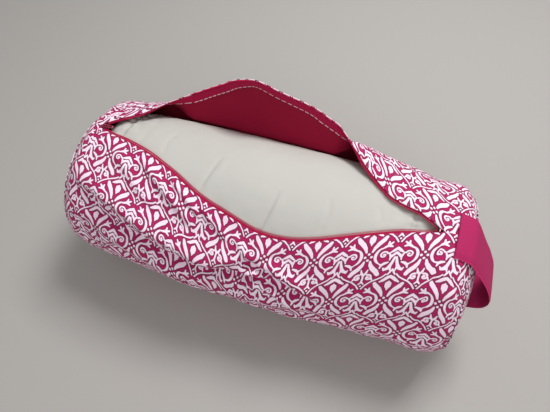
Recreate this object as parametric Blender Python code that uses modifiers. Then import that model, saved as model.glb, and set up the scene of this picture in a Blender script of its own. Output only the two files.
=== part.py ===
"""Round yoga bolster lying on its side with its zipped cover open along the top.

Metres, +Z up. X runs along the bolster, with the handle at the +X end. The zipped mouth is on top, and the
bolster rests on the plane z = 0. An angle on the round body is counted in degrees from the top, positive towards
the front (-Y), so 180 is the underside. A depth is counted inwards from the cover's printed outer face.
"""
import math

import bmesh
import bpy
import numpy as np
from mathutils import Matrix, Vector
from mathutils.bvhtree import BVHTree

# Cover
COVER_RADIUS = 0.120
SETTLED = 0.010
AXIS_HEIGHT = COVER_RADIUS - SETTLED
SEAM_X = 0.281
END_ROUND = 0.031
END_TAPER = 0.0415
END_DRAW_IN = 0.013
END_LEAN = 0.011
END_DOME = 0.020
PRINT_THICKNESS = 0.0009
LINING_THICKNESS = 0.0006
LAYER_GAP = 0.0003

# Slack cloth that has sunk down the front
SLACK_BULGE = 0.013
SLACK_CENTRE_X = -0.030
SLACK_HALF_LENGTH = SEAM_X - 0.041
SLACK_MIDDLE = 96.0
SLACK_SPREAD = 54.0
SLACK_FOLDS = 5.0
FOLD_SHARE = 0.15

# Back panel, which bows out between the flap and the right end
BACK_SWELL = 0.011
BACK_SWELL_X = SEAM_X - 0.121
BACK_SWELL_HALF_LENGTH = 0.043
BACK_SWELL_MIDDLE = -42.0
BACK_SWELL_SPREAD = 37.0

# Mouth: its ends, and its front and back edges, as (x as a share of the distance to the end seam, angle)
MOUTH_LEFT = (-0.8826, -1.4)
MOUTH_RIGHT = (0.8221, 8.6)
FRONT_EDGE = [(-0.8783, 0.4), (-0.8399, 1.0), (-0.79, 2.6), (-0.694, 4.6), (-0.5125, 9.4), (-0.2633, 23.0),
              (-0.0391, 35.2), (0.1139, 39.4), (0.2491, 36.8), (0.331, 32.8), (0.4875, 23.6), (0.6477, 16.0),
              (0.8178, 9.6)]
BACK_EDGE_LEFT = [(-0.8783, -3.3), (-0.8399, -3.9), (-0.79, -13.0), (-0.7402, -25.0), (-0.726, -38.0),
                  (-0.7082, -52.0)]
BACK_EDGE_RIGHT = [(0.4128, -52.0), (0.4342, -38.0), (0.4591, -26.0), (0.5196, -12.4), (0.5979, -2.9), (0.7117, 1.4),
                   (0.8178, 7.6)]
FLAP_EDGE = [(-0.6833, -43.0), (-0.5979, -34.7), (-0.4377, -21.5), (-0.2847, -8.6), (-0.1708, -2.4), (-0.0534, -9.8),
             (0.1495, -20.6), (0.2562, -28.6), (0.3416, -38.0), (0.3879, -44.5)]
FOLD_ANGLE = -52.0
FLAP_OPEN = 65.0
FOLD_GAP = 0.0002
FLAP_SIDE_GAP = 0.0020

# Rows of the cover along its length, as shares of the distance to the end seams
END_ROWS = [1.0, 0.9537]
MOUTH_ROWS = [-0.8783, -0.8399, -0.79, -0.7402, -0.726, -0.7153, -0.7082, -0.5338, -0.3737, -0.2135,
              -0.0534, 0.1068, 0.2562, 0.4128, 0.4199, 0.4342, 0.4591, 0.5196, 0.605, 0.7117, 0.8178]
FRONT_SEGMENTS = 9
FLOOR_SEGMENTS = 2
BACK_SEGMENTS = 11
FLAP_SEGMENTS = 4

# Insert
INSERT_RADIUS = COVER_RADIUS - 0.0055
INSERT_RISE = 0.001
INSERT_CENTRE_X = -0.010
INSERT_HALF_LENGTH = SEAM_X - 0.074
INSERT_CROWN = 0.004
INSERT_LEFT_DOME = 0.055
INSERT_RIGHT_DOME = 0.075
INSERT_SKIN = 0.0008
INSERT_FLOOR_GAP = 0.0003
INSERT_SEGMENTS = 36
DOME_POWER = 2.6

# Zip
TAPE_DEPTHS = (0.0021, 0.0028, 0.0035)
TAPE_THICKNESS = 0.0005
TAPE_WIDTH = 0.013
TAPE_SHOWS = 0.0014
TAPE_END_GAP = 0.0060
COIL_RADIUS = 0.0010
COIL_END_GAP = 0.0034
COIL_FROM_EDGE = 0.0028
COIL_DEPTH = 0.0019
ZIP_LINE_START = (-0.8548, -1.43)
ZIP_LINE_END = (0.7224, 6.70)
SLIDER_LENGTH = 0.0085
SLIDER_WIDTH = 0.0064
SLIDER_PLATE = 0.0010
SLIDER_CHANNEL = 0.0026
SLIDER_WEDGE = (0.0025, 0.0014)
SLIDER_DEPTH = 0.0041
BRIDGE_LENGTH = 0.0052
BRIDGE_WIDTH = 0.0016
BRIDGE_WALL = 0.0008
BRIDGE_OPENING = 0.0020
TAB_BAR_RADIUS = 0.0005
TAB_LENGTH = 0.014
TAB_WIDTH = 0.0046
TAB_THICKNESS = 0.0010
TAB_EYE = 0.0047
STOP_LENGTH = 0.0016
STOP_WIDTH = 0.0050
STOP_HEIGHT = 0.0024
STOP_LEFT_IN = 0.0023
STOP_RIGHT_IN = 0.0048

# Handle: x is counted from the end seam, and height from the body's axis as a share of the cover's radius.
# The route is that of the strap's outer face, from the barrel's top over the end to the end disc.
STRAP_FRONT_Y = -0.047
STRAP_BACK_Y = 0.0125
STRAP_THICKNESS = 0.0024
STRAP_LIFT = 0.0005
STRAP_END_LIFT = 0.0009
STRAP_START = -0.0344
STRAP_SEWN_END = -0.0210
STRAP_ROUTE = [(-0.0206, 1.005), (-0.0130, 0.982), (-0.0050, 0.900), (0.0040, 0.775), (0.0150, 0.625),
               (0.0260, 0.483), (0.0340, 0.342), (0.0370, 0.217), (0.0330, 0.100), (0.0230, 0.029), (0.0140, 0.004)]
STRAP_GRIP = (0.0190, 0.167)
STRAP_STEP = 0.009
STRAP_SETTLED = 0.45
ANCHOR_TOP = -0.0125
ANCHOR_BOTTOM = -0.283
SEWN_GAP = 0.0003

COLLECTION = "round_yoga_bolster"


def clear_scene():
    for obj in list(bpy.data.objects):
        bpy.data.objects.remove(obj, do_unlink=True)


def material(name, colour, roughness, metallic=0.0):
    found = bpy.data.materials.get(name)
    if found:
        return found
    mat = bpy.data.materials.new(name)
    mat.use_nodes = True
    shader = mat.node_tree.nodes["Principled BSDF"]
    shader.inputs["Base Color"].default_value = (*colour, 1.0)
    shader.inputs["Roughness"].default_value = roughness
    shader.inputs["Metallic"].default_value = metallic
    mat.diffuse_color = (*colour, 1.0)
    return mat


def printed_cotton():
    return material("printed_cotton", (0.70, 0.16, 0.33), 0.85)


def crimson_lining():
    return material("crimson_lining", (0.32, 0.01, 0.05), 0.80)


def natural_cotton():
    return material("natural_cotton", (0.66, 0.63, 0.58), 0.90)


def stuffing():
    return material("stuffing", (0.80, 0.78, 0.72), 1.0)


def zip_tape():
    return material("zip_tape", (0.36, 0.01, 0.06), 0.70)


def zip_coil():
    return material("zip_coil", (0.30, 0.01, 0.05), 0.40)


def zip_metal():
    return material("zip_metal", (0.30, 0.01, 0.05), 0.35, 0.6)


def strap_cotton():
    return material("strap_cotton", (0.56, 0.02, 0.12), 0.85)


def smooth_step(t):
    t = min(max(t, 0.0), 1.0)
    return t * t * (3.0 - 2.0 * t)


def through(points, x):
    """Value at x of a smooth curve through (x, value) points, without overshoot."""
    xs = [p[0] for p in points]
    ys = [p[1] for p in points]
    if x <= xs[0]:
        return ys[0]
    if x >= xs[-1]:
        return ys[-1]
    steps = [(ys[i + 1] - ys[i]) / (xs[i + 1] - xs[i]) for i in range(len(xs) - 1)]
    slopes = [steps[0]]
    for before, after in zip(steps, steps[1:]):
        slopes.append(0.0 if before * after <= 0.0 else 2.0 * before * after / (before + after))
    slopes.append(steps[-1])
    i = max(k for k in range(len(xs) - 1) if xs[k] <= x)
    width = xs[i + 1] - xs[i]
    t = (x - xs[i]) / width
    rise = ys[i + 1] - ys[i]
    bend = slopes[i] + slopes[i + 1] - 2.0 * steps[i]
    ease = 3.0 * steps[i] - 2.0 * slopes[i] - slopes[i + 1]
    return ys[i] + width * t * (slopes[i] + t * (ease + t * bend)) if rise else ys[i]


def slack(x, angle):
    """How far the loose cloth stands out on the front, with a few shallow folds in it."""
    along = (x - SLACK_CENTRE_X) / SLACK_HALF_LENGTH
    round_it = (angle - SLACK_MIDDLE) / SLACK_SPREAD
    if abs(along) >= 1.0 or abs(round_it) >= 1.0:
        return 0.0
    swell = (1.0 - along * along) ** 1.25 * (1.0 - round_it * round_it) ** 2
    fold = 1.0 - FOLD_SHARE + FOLD_SHARE * math.cos(SLACK_FOLDS * math.pi * (round_it + 0.6 * along))
    return SLACK_BULGE * swell * fold


def back_swell(x, angle):
    """How far the back panel bows out beside the flap."""
    along = (x - BACK_SWELL_X) / BACK_SWELL_HALF_LENGTH
    round_it = ((angle + 180.0) % 360.0 - 180.0 - BACK_SWELL_MIDDLE) / BACK_SWELL_SPREAD
    if abs(along) >= 1.0 or abs(round_it) >= 1.0:
        return 0.0
    return BACK_SWELL * (1.0 - along * along) ** 2 * (1.0 - round_it * round_it) ** 2


def cover_point(x, angle, depth):
    """A point of the cover at x along it and an angle round it, at a depth below its printed face."""
    turn = math.radians(angle)
    taper = max(0.0, (abs(x) - (SEAM_X - END_TAPER)) / END_TAPER)
    inwards = depth * (1.0 + 0.3 * taper)
    radius = COVER_RADIUS - END_DRAW_IN * taper ** 3 + slack(x, angle) + back_swell(x, angle) - inwards
    lean = math.copysign(END_LEAN * smooth_step((abs(x) - (SEAM_X - END_ROUND)) / END_ROUND), x) * math.cos(turn)
    z = AXIS_HEIGHT + radius * math.cos(turn)
    return Vector((x - lean, -radius * math.sin(turn), max(z, depth)))


def floor_angle():
    """Angle at which the round body meets the flat that it lies on."""
    return math.degrees(math.acos(-AXIS_HEIGHT / COVER_RADIUS))


def cover_angles(front, back):
    """Stations round the body from the mouth's front edge, under the body, to its back edge."""
    low = floor_angle()
    stations = list(np.linspace(front, low, FRONT_SEGMENTS + 1))
    stations += list(np.linspace(low, 360.0 - low, FLOOR_SEGMENTS + 1))[1:]
    stations += list(np.linspace(360.0 - low, 360.0 + back, BACK_SEGMENTS + 1))[1:]
    return stations


def back_edge(share):
    if share <= BACK_EDGE_LEFT[-1][0]:
        return through(BACK_EDGE_LEFT, share)
    if share >= BACK_EDGE_RIGHT[0][0]:
        return through(BACK_EDGE_RIGHT, share)
    return FOLD_ANGLE - math.degrees(FOLD_GAP / COVER_RADIUS)


def in_metres(edge):
    return [(share * SEAM_X, angle) for share, angle in edge]


def cover_rows():
    """Rows of the cover as (x, front angle, back angle); where both are equal the cloth is closed."""
    left, right = MOUTH_LEFT, MOUTH_RIGHT
    rows = [(-share, left[1], left[1]) for share in END_ROWS] + [(left[0], left[1], left[1])]
    rows += [(share, through(FRONT_EDGE, share), back_edge(share)) for share in MOUTH_ROWS]
    rows += [(right[0], right[1], right[1])] + [(share, right[1], right[1]) for share in reversed(END_ROWS)]
    return [(share * SEAM_X, front, back) for share, front, back in rows]


def collection():
    found = bpy.data.collections.get(COLLECTION)
    if not found:
        found = bpy.data.collections.new(COLLECTION)
        bpy.context.scene.collection.children.link(found)
    return found


def add_mesh(name, mesh, mat, angle=40.0):
    mesh.materials.clear()
    mesh.materials.append(mat)
    mesh.shade_smooth()
    mesh.set_sharp_from_angle(angle=math.radians(angle))
    obj = bpy.data.objects.new(name, mesh)
    collection().objects.link(obj)
    return obj


def loft_cell(bm, corners, flip):
    """A face between two rows; a skewed one is two triangles that meet on its shorter diagonal."""
    a, b, c, d = corners
    first = (a.co - c.co).length
    second = (b.co - d.co).length
    if abs(first - second) < 0.04 * max(first, second):
        faces = [(a, b, c, d)]
    elif first < second:
        faces = [(a, b, c), (a, c, d)]
    else:
        faces = [(a, b, d), (b, c, d)]
    for face in faces:
        bm.faces.new(face[::-1] if flip else face)


def sheet(name, rows, mat, thickness, flip=False):
    """Cloth lofted through rows of points; its thickness goes in from the rows, towards the body's axis."""
    bm = bmesh.new()
    grid = [[bm.verts.new(p) for p in row] for row in rows]
    for upper, lower in zip(grid, grid[1:]):
        for i in range(len(upper) - 1):
            loft_cell(bm, (upper[i], lower[i], lower[i + 1], upper[i + 1]), flip)
    bmesh.ops.remove_doubles(bm, verts=bm.verts, dist=0.00001)
    mesh = bpy.data.meshes.new(name)
    bm.to_mesh(mesh)
    bm.free()
    obj = add_mesh(name, mesh, mat)
    shell = obj.modifiers.new("cloth", "SOLIDIFY")
    shell.thickness = thickness
    shell.offset = -1.0
    return obj


def place_origin(obj, point):
    """Moves an object's origin to a point and leaves its shape where it is."""
    obj.data.transform(Matrix.Translation(-Vector(point)))
    obj.location = point


def build_barrel(name, depth, thickness, mat):
    rows = [[cover_point(x, a, depth) for a in cover_angles(front, back)] for x, front, back in cover_rows()]
    return sheet(name, rows, mat, thickness, flip=True)


def end_rows(side, depth, inset, rings):
    """Rows from an end's seam in to its middle."""
    seam = MOUTH_LEFT[1] if side < 0 else MOUTH_RIGHT[1]
    middle = Vector((side * SEAM_X, 0.0, AXIS_HEIGHT))
    rows = []
    for share in rings:
        row = []
        for angle in cover_angles(seam, seam):
            rim = cover_point(side * SEAM_X, angle, depth)
            point = middle.lerp(rim, share)
            point.x += side * (END_DOME * (1.0 - share * share) - inset)
            row.append(point)
        rows.append(row)
    return rows


def build_ends():
    rings = [1.0, 0.8, 0.5, 0.2, 0.0]
    for side, word in ((-1, "left"), (1, "right")):
        out = -(LAYER_GAP + PRINT_THICKNESS)
        rows = end_rows(side, 0.0, out, rings)
        sheet(f"cover_end_{word}", rows, printed_cotton(), PRINT_THICKNESS, flip=side > 0)
        inside = PRINT_THICKNESS + LAYER_GAP + LINING_THICKNESS + 2 * LAYER_GAP
        rows = end_rows(side, inside, 2 * LAYER_GAP, rings)
        sheet(f"lining_end_{word}", rows, crimson_lining(), LINING_THICKNESS, flip=side > 0)


def fold_line():
    turn = math.radians(FOLD_ANGLE)
    return Vector((0.0, -COVER_RADIUS * math.sin(turn), AXIS_HEIGHT + COVER_RADIUS * math.cos(turn)))


def opened(point):
    """Takes a point of the flap from where it lies when shut to where it stands open."""
    pivot = fold_line()
    return Matrix.Rotation(-math.radians(FLAP_OPEN), 4, "X") @ (point - pivot) + pivot


def flap_rows(depth):
    base = FOLD_ANGLE + math.degrees(FOLD_GAP / COVER_RADIUS)
    rows = []
    for x, edge in in_metres(FLAP_EDGE):
        angles = np.linspace(edge, base, FLAP_SEGMENTS + 1)
        rows.append([opened(cover_point(x, a, depth)) for a in angles])
    return rows


def build_flap():
    printed = sheet("cover_flap", flap_rows(0.0), printed_cotton(), PRINT_THICKNESS)
    depth = PRINT_THICKNESS + LAYER_GAP
    lined = sheet("lining_flap", flap_rows(depth), crimson_lining(), LINING_THICKNESS)
    for obj in (printed, lined):
        place_origin(obj, fold_line())


def beside_edge(edge, i, out):
    """The (x, angle) a distance out from an edge, at its point i; out is towards the mouth."""
    arc = [Vector((x, math.radians(a) * COVER_RADIUS)) for x, a in edge]
    before = arc[max(i - 1, 0)]
    after = arc[min(i + 1, len(arc) - 1)]
    along = (after - before).normalized()
    moved = arc[i] + Vector((-along.y, along.x)) * out
    return moved.x, math.degrees(moved.y / COVER_RADIUS)


def build_tape(name, edge, side, flap=False):
    """A zip tape under the lining along an edge. side is 1 where the mouth is at larger angles, or -1."""
    rows = []
    for i in range(len(edge)):
        row = []
        for share, depth in zip((0.0, 0.4, 1.0), TAPE_DEPTHS):
            x, angle = beside_edge(edge, i, side * (TAPE_SHOWS - share * TAPE_WIDTH))
            point = cover_point(x, angle, depth)
            row.append(opened(point) if flap else point)
        rows.append(row)
    obj = sheet(name, rows, zip_tape(), TAPE_THICKNESS, flip=side < 0)
    if flap:
        place_origin(obj, fold_line())


def tube(name, points, radius, mat, resolution=2):
    """A round tube along points, with filled ends, as a mesh object."""
    curve = bpy.data.curves.new(name, "CURVE")
    curve.dimensions = "3D"
    curve.bevel_depth = radius
    curve.bevel_resolution = resolution
    curve.use_fill_caps = True
    spline = curve.splines.new("POLY")
    spline.points.add(len(points) - 1)
    for knot, point in zip(spline.points, points):
        knot.co = (*point, 1.0)
    guide = bpy.data.objects.new(name + "_curve", curve)
    collection().objects.link(guide)
    bpy.context.view_layer.update()
    mesh = bpy.data.meshes.new_from_object(guide.evaluated_get(bpy.context.evaluated_depsgraph_get()))
    bpy.data.objects.remove(guide, do_unlink=True)
    mesh.name = name
    bm = bmesh.new()
    bm.from_mesh(mesh)
    bmesh.ops.remove_doubles(bm, verts=bm.verts, dist=0.00001)
    bmesh.ops.recalc_face_normals(bm, faces=bm.faces)
    bm.to_mesh(mesh)
    bm.free()
    return add_mesh(name, mesh, mat)


def build_coil(name, edge, side, flap=False):
    points = []
    for i in range(len(edge)):
        x, angle = beside_edge(edge, i, side * COIL_FROM_EDGE)
        point = cover_point(x, angle, COIL_DEPTH)
        points.append(opened(point) if flap else point)
    obj = tube(name, points, COIL_RADIUS, zip_coil())
    if flap:
        place_origin(obj, fold_line())


def trimmed(edge, start, end):
    """An edge's part between two x values, with points there."""
    edge = in_metres(edge)
    rows = [share * SEAM_X for share in MOUTH_ROWS]
    inner = [(x, through(edge, x)) for x in rows if start < x < end]
    return [(start, through(edge, start))] + inner + [(end, through(edge, end))]


def build_zip():
    for piece, build, clear in (("tape", build_tape, TAPE_END_GAP), ("coil", build_coil, COIL_END_GAP)):
        left = MOUTH_LEFT[0] * SEAM_X + clear
        right = MOUTH_RIGHT[0] * SEAM_X - 2 * clear
        flap_left = BACK_EDGE_LEFT[-1][0] * SEAM_X - FLAP_SIDE_GAP
        flap_right = BACK_EDGE_RIGHT[0][0] * SEAM_X + FLAP_SIDE_GAP
        build(f"zip_{piece}_front", trimmed(FRONT_EDGE, left, right), -1)
        build(f"zip_{piece}_back_left", trimmed(BACK_EDGE_LEFT, left, flap_left), 1)
        build(f"zip_{piece}_back_right", trimmed(BACK_EDGE_RIGHT, flap_right, right), 1)
        build(f"zip_{piece}_flap", in_metres(FLAP_EDGE), 1, flap=True)


def box(name, size, centre, mat, bevel=0.0):
    bm = bmesh.new()
    bmesh.ops.create_cube(bm, size=1.0)
    bmesh.ops.scale(bm, vec=size, verts=bm.verts)
    bmesh.ops.translate(bm, vec=centre, verts=bm.verts)
    mesh = bpy.data.meshes.new(name)
    bm.to_mesh(mesh)
    bm.free()
    obj = add_mesh(name, mesh, mat)
    if bevel:
        rounding = obj.modifiers.new("rounded_edges", "BEVEL")
        rounding.width = bevel
        rounding.segments = 2
        rounding.limit_method = "ANGLE"
    return obj


def applied(obj):
    """The object with its modifiers made part of its mesh."""
    bpy.context.view_layer.update()
    mesh = bpy.data.meshes.new_from_object(obj.evaluated_get(bpy.context.evaluated_depsgraph_get()))
    obj.modifiers.clear()
    obj.data = mesh
    return obj


def combine(base, other, operation):
    """Joins or cuts one object with another, which is then removed."""
    step = base.modifiers.new("combine", "BOOLEAN")
    step.operation = operation
    step.object = other
    applied(base)
    bpy.data.objects.remove(other, do_unlink=True)
    return base


def on_zip_line(point):
    """A point of the zip's line, given as (share, angle), seen from above."""
    return Vector((point[0] * SEAM_X, -COVER_RADIUS * math.sin(math.radians(point[1]))))


def zip_frame():
    """Turns and moves a piece of the slider from its own axes to the start of the zip's line."""
    start = on_zip_line(ZIP_LINE_START)
    run = on_zip_line(ZIP_LINE_END) - start
    turn = Matrix.Rotation(math.atan2(run.y, run.x), 4, "Z")
    return Matrix.Translation((start.x, start.y, AXIS_HEIGHT + COVER_RADIUS - SLIDER_DEPTH)) @ turn


def slider_height():
    return 2 * SLIDER_PLATE + SLIDER_CHANNEL


def build_slider():
    mat = zip_metal()
    top = SLIDER_PLATE + SLIDER_CHANNEL
    half = SLIDER_PLATE / 2
    body = box("zip_slider", (SLIDER_LENGTH, SLIDER_WIDTH, SLIDER_PLATE), (0, 0, half), mat, 0.0003)
    lid = box("lid", (SLIDER_LENGTH, SLIDER_WIDTH, SLIDER_PLATE), (0, 0, top + half), mat, 0.0003)
    wedge_x = SLIDER_LENGTH / 2 - 1.1 * SLIDER_WEDGE[0] / 2
    wedge = box("wedge", (*SLIDER_WEDGE, slider_height() - SLIDER_PLATE), (wedge_x, 0, slider_height() / 2), mat)
    applied(body)
    combine(body, applied(lid), "UNION")
    combine(body, wedge, "UNION")
    arch_height = BRIDGE_OPENING + BRIDGE_WALL
    arch_middle = slider_height() + arch_height / 2
    arch = box("arch", (BRIDGE_LENGTH, BRIDGE_WIDTH, arch_height + 0.0004), (0, 0, arch_middle - 0.0002), mat)
    inner = (BRIDGE_LENGTH - 2 * BRIDGE_WALL, 2 * BRIDGE_WIDTH, BRIDGE_OPENING)
    hole = box("hole", inner, (0, 0, slider_height() + BRIDGE_OPENING / 2), mat)
    combine(arch, hole, "DIFFERENCE")
    combine(body, arch, "UNION")
    body.matrix_world = zip_frame()


def tab_pivot():
    """Where the pull tab's bar turns in the slider's bridge, in the slider's own axes."""
    return Vector((-0.0008, 0.0, slider_height() + 0.0010))


def build_tab():
    mat = zip_metal()
    plate_length = TAB_LENGTH - TAB_EYE
    tab = box("zip_pull_tab", (TAB_LENGTH, TAB_WIDTH, TAB_THICKNESS), (TAB_LENGTH / 2 - TAB_BAR_RADIUS, 0, 0), mat,
              0.0003)
    applied(tab)
    eye_length = TAB_EYE - 2 * TAB_BAR_RADIUS
    eye = box("eye", (eye_length, TAB_WIDTH - 0.0018, 3 * TAB_THICKNESS), (TAB_BAR_RADIUS + eye_length / 2, 0, 0), mat)
    combine(tab, eye, "DIFFERENCE")
    slot_length = plate_length * 0.45
    slot = box("slot", (slot_length, 0.0016, 3 * TAB_THICKNESS), (TAB_EYE + plate_length * 0.5, 0, 0), mat)
    combine(tab, slot, "DIFFERENCE")
    tab.matrix_world = zip_frame() @ Matrix.Translation(tab_pivot())


def build_stops():
    for name, end, inwards, width in (("zip_stop_left", MOUTH_LEFT, STOP_LEFT_IN, STOP_WIDTH),
                                      ("zip_stop_right", MOUTH_RIGHT, -STOP_RIGHT_IN, 0.8 * STOP_WIDTH)):
        middle = cover_point(end[0] * SEAM_X + inwards, end[1], COIL_DEPTH)
        box(name, (STOP_LENGTH, width, STOP_HEIGHT), middle, zip_metal(), 0.0003)


def insert_seam(side):
    return INSERT_CENTRE_X + side * INSERT_HALF_LENGTH


def insert_floor():
    return PRINT_THICKNESS + LINING_THICKNESS + LAYER_GAP + INSERT_FLOOR_GAP


def insert_point(x, share, angle, depth):
    """A point of the insert; share is 1 on its barrel and falls to 0 at the middle of an end."""
    turn = math.radians(angle)
    along = (x - INSERT_CENTRE_X) / INSERT_HALF_LENGTH
    swell = INSERT_RADIUS - INSERT_CROWN * min(along * along, 1.0)
    radius = (swell - depth) * share
    middle = AXIS_HEIGHT + INSERT_RISE
    return Vector((x, -radius * math.sin(turn), max(middle + radius * math.cos(turn), insert_floor() + depth)))


def insert_angles():
    """Even steps round the insert, with one at each side of its flat."""
    low = math.degrees(math.acos((insert_floor() - AXIS_HEIGHT - INSERT_RISE) / INSERT_RADIUS))
    steps = INSERT_SEGMENTS - 4
    return list(np.linspace(-low, low, steps + 1)) + list(np.linspace(low, 360.0 - low, 5))[1:]


def insert_barrel_rows(depth):
    stations = np.linspace(insert_seam(-1), insert_seam(1), 6)
    return [[insert_point(x, 1.0, a, depth) for a in insert_angles()] for x in stations]


def insert_end_rows(side, depth, shares):
    dome = INSERT_RIGHT_DOME if side > 0 else INSERT_LEFT_DOME
    rows = []
    for share in shares:
        x = insert_seam(side)
        out = side * (dome - depth) * math.sqrt(1.0 - share ** DOME_POWER)
        row = [insert_point(x, share, a, depth) + Vector((out, 0, 0)) for a in insert_angles()]
        rows.append(row)
    return rows


def build_insert():
    shares = [1.0, 0.93, 0.78, 0.5, 0.22, 0.0]
    sheet("insert_barrel", insert_barrel_rows(0.0), natural_cotton(), INSERT_SKIN, flip=True)
    for side, word in ((-1, "left"), (1, "right")):
        rows = insert_end_rows(side, 0.0, shares)
        shift = Vector((side * LAYER_GAP, 0, 0))
        rows = [[p + shift for p in row] for row in rows]
        sheet(f"insert_end_{word}", rows, natural_cotton(), INSERT_SKIN, flip=side > 0)
    core_depth = INSERT_SKIN + 2 * LAYER_GAP
    rows = insert_end_rows(-1, core_depth, shares[::-1]) + insert_barrel_rows(core_depth)[1:-1]
    rows += insert_end_rows(1, core_depth, shares)
    core = sheet("insert_fill", rows, stuffing(), 0.0, flip=True)
    core.modifiers.clear()


def strap_columns():
    """Where the strap's edges and its one crease lie, so that it follows the facets that carry it."""
    crease = -COVER_RADIUS * math.sin(math.radians(MOUTH_RIGHT[1]))
    return (STRAP_FRONT_Y, crease, STRAP_BACK_Y)


def strap_height(share):
    return AXIS_HEIGHT + share * COVER_RADIUS


def strap_route():
    """Points along the strap's route at an even step, as (x, z)."""
    knots = [Vector((SEAM_X + out, strap_height(up))) for out, up in STRAP_ROUTE]
    lengths = [0.0]
    for a, b in zip(knots, knots[1:]):
        lengths.append(lengths[-1] + (b - a).length)
    count = max(2, round(lengths[-1] / STRAP_STEP))
    xs = [(s, p.x) for s, p in zip(lengths, knots)]
    zs = [(s, p.y) for s, p in zip(lengths, knots)]
    return [(through(xs, s), through(zs, s)) for s in np.linspace(0.0, lengths[-1], count + 1)]


def seated_row(tree, starts, direction, lift):
    """Points of the strap's outer face where it lies on the cover, found by looking from the starts."""
    row = []
    look = Vector(direction)
    for start in starts:
        hit, normal = tree.ray_cast(Vector(start), look)[:2]
        row.append(hit - look * (lift + STRAP_THICKNESS) / abs(normal.dot(look)))
    return row


def surface_of(*names):
    """A search tree over the outer faces of the named pieces."""
    bm = bmesh.new()
    for name in names:
        bm.from_mesh(bpy.data.objects[name].data)
    tree = BVHTree.FromBMesh(bm)
    bm.free()
    return tree


def strap_grid():
    """Rows of the strap's outer face, and the first and last row of its free run."""
    tree = surface_of("cover_barrel", "cover_end_right")
    columns = strap_columns()
    top = [seated_row(tree, [(x, y, 1.0) for y in columns], (0, 0, -1), STRAP_LIFT)
           for x in np.linspace(SEAM_X + STRAP_START, SEAM_X + STRAP_SEWN_END, 3)]
    bottom = [seated_row(tree, [(1.0, y, z) for y in columns], (-1, 0, 0), STRAP_END_LIFT)
              for z in np.linspace(strap_height(ANCHOR_TOP), strap_height(ANCHOR_BOTTOM), 3)]
    route = strap_route()
    free = []
    for i, (x, z) in enumerate(route):
        share = i / (len(route) - 1)
        leave = 1.0 - smooth_step(share / STRAP_SETTLED)
        arrive = smooth_step((share - 1.0 + STRAP_SETTLED) / STRAP_SETTLED)
        row = []
        for k, y in enumerate(columns):
            start = top[-1][k] - Vector((route[0][0], y, route[0][1]))
            end = bottom[0][k] - Vector((route[-1][0], y, route[-1][1]))
            row.append(Vector((x, y, z)) + start * leave + end * arrive)
        free.append(row)
    return top[:-1] + free + bottom[1:], len(top) - 1, len(top) - 2 + len(free)


def under_rows(rows):
    """The strap's inner face: each point set in square to the outer face."""
    result = []
    for i, row in enumerate(rows):
        before = rows[max(i - 1, 0)]
        after = rows[min(i + 1, len(rows) - 1)]
        under = []
        for k, point in enumerate(row):
            across = row[min(k + 1, len(row) - 1)] - row[max(k - 1, 0)]
            normal = (after[k] - before[k]).cross(across).normalized()
            under.append(point - normal * STRAP_THICKNESS)
        result.append(under)
    return result


def shortened(rows, start_gap, end_gap):
    """Rows with the first and last drawn in a little, to leave gaps between the strap's pieces."""
    first = [a + (b - a).normalized() * start_gap for a, b in zip(rows[0], rows[1])]
    last = [a + (b - a).normalized() * end_gap for a, b in zip(rows[-1], rows[-2])]
    return [first] + rows[1:-1] + [last]


def slab(name, outer, inner, mat):
    """A length of strap, closed between its outer and inner rows."""
    around = [row + under[::-1] + row[:1] for row, under in zip(outer, inner)]
    bm = bmesh.new()
    grid = [[bm.verts.new(p) for p in row] for row in around]
    for upper, lower in zip(grid, grid[1:]):
        for i in range(len(upper) - 1):
            bm.faces.new((upper[i], lower[i], lower[i + 1], upper[i + 1]))
    last = 2 * len(outer[0]) - 1
    for ring in (grid[0], grid[-1]):
        for i in range(len(outer[0]) - 1):
            bm.faces.new((ring[i], ring[i + 1], ring[last - 1 - i], ring[last - i]))
    bmesh.ops.remove_doubles(bm, verts=bm.verts, dist=0.00001)
    bmesh.ops.recalc_face_normals(bm, faces=bm.faces)
    mesh = bpy.data.meshes.new(name)
    bm.to_mesh(mesh)
    bm.free()
    return add_mesh(name, mesh, mat)


def build_handle():
    rows, start, end = strap_grid()
    under = under_rows(rows)
    middle = [row[1] for row in rows]
    grip_start = min(i for i in range(start, end) if middle[i].x > SEAM_X + STRAP_GRIP[0])
    grip_end = max(i for i in range(start, end) if middle[i].z > strap_height(STRAP_GRIP[1]))
    half = SEWN_GAP / 2
    parts = (("handle_sewn_top", 0, start, 0.0, half),
             ("handle_upper_run", start, grip_start, half, half),
             ("handle_grip", grip_start, grip_end, half, half),
             ("handle_lower_run", grip_end, end, half, half),
             ("handle_sewn_bottom", end, len(rows) - 1, half, 0.0))
    for name, first, last, start_gap, end_gap in parts:
        faces = [shortened(part[first:last + 1], start_gap, end_gap) for part in (rows, under)]
        slab(name, *faces, strap_cotton())


def main():
    clear_scene()
    build_barrel("cover_barrel", 0.0, PRINT_THICKNESS, printed_cotton())
    build_barrel("lining_barrel", PRINT_THICKNESS + LAYER_GAP, LINING_THICKNESS, crimson_lining())
    build_ends()
    build_flap()
    build_zip()
    build_slider()
    build_tab()
    build_stops()
    build_insert()
    build_handle()


main()
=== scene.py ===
"""How the round yoga bolster looks: it lies on its side with its zipped cover open along the top.

Metres, +Z up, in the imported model's frame. X runs along the bolster, with the handle at the +X end. An angle
on the round body is counted in degrees from the top, positive towards the front (-Y), so 180 is the
underside. A depth is counted inwards from the cover's printed outer face.
"""
from __future__ import annotations

import logging
import math
from dataclasses import dataclass
from enum import Enum

import bmesh
import bpy
import numpy as np
from mathutils import Matrix, Vector, noise
from mathutils.bvhtree import BVHTree


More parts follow.
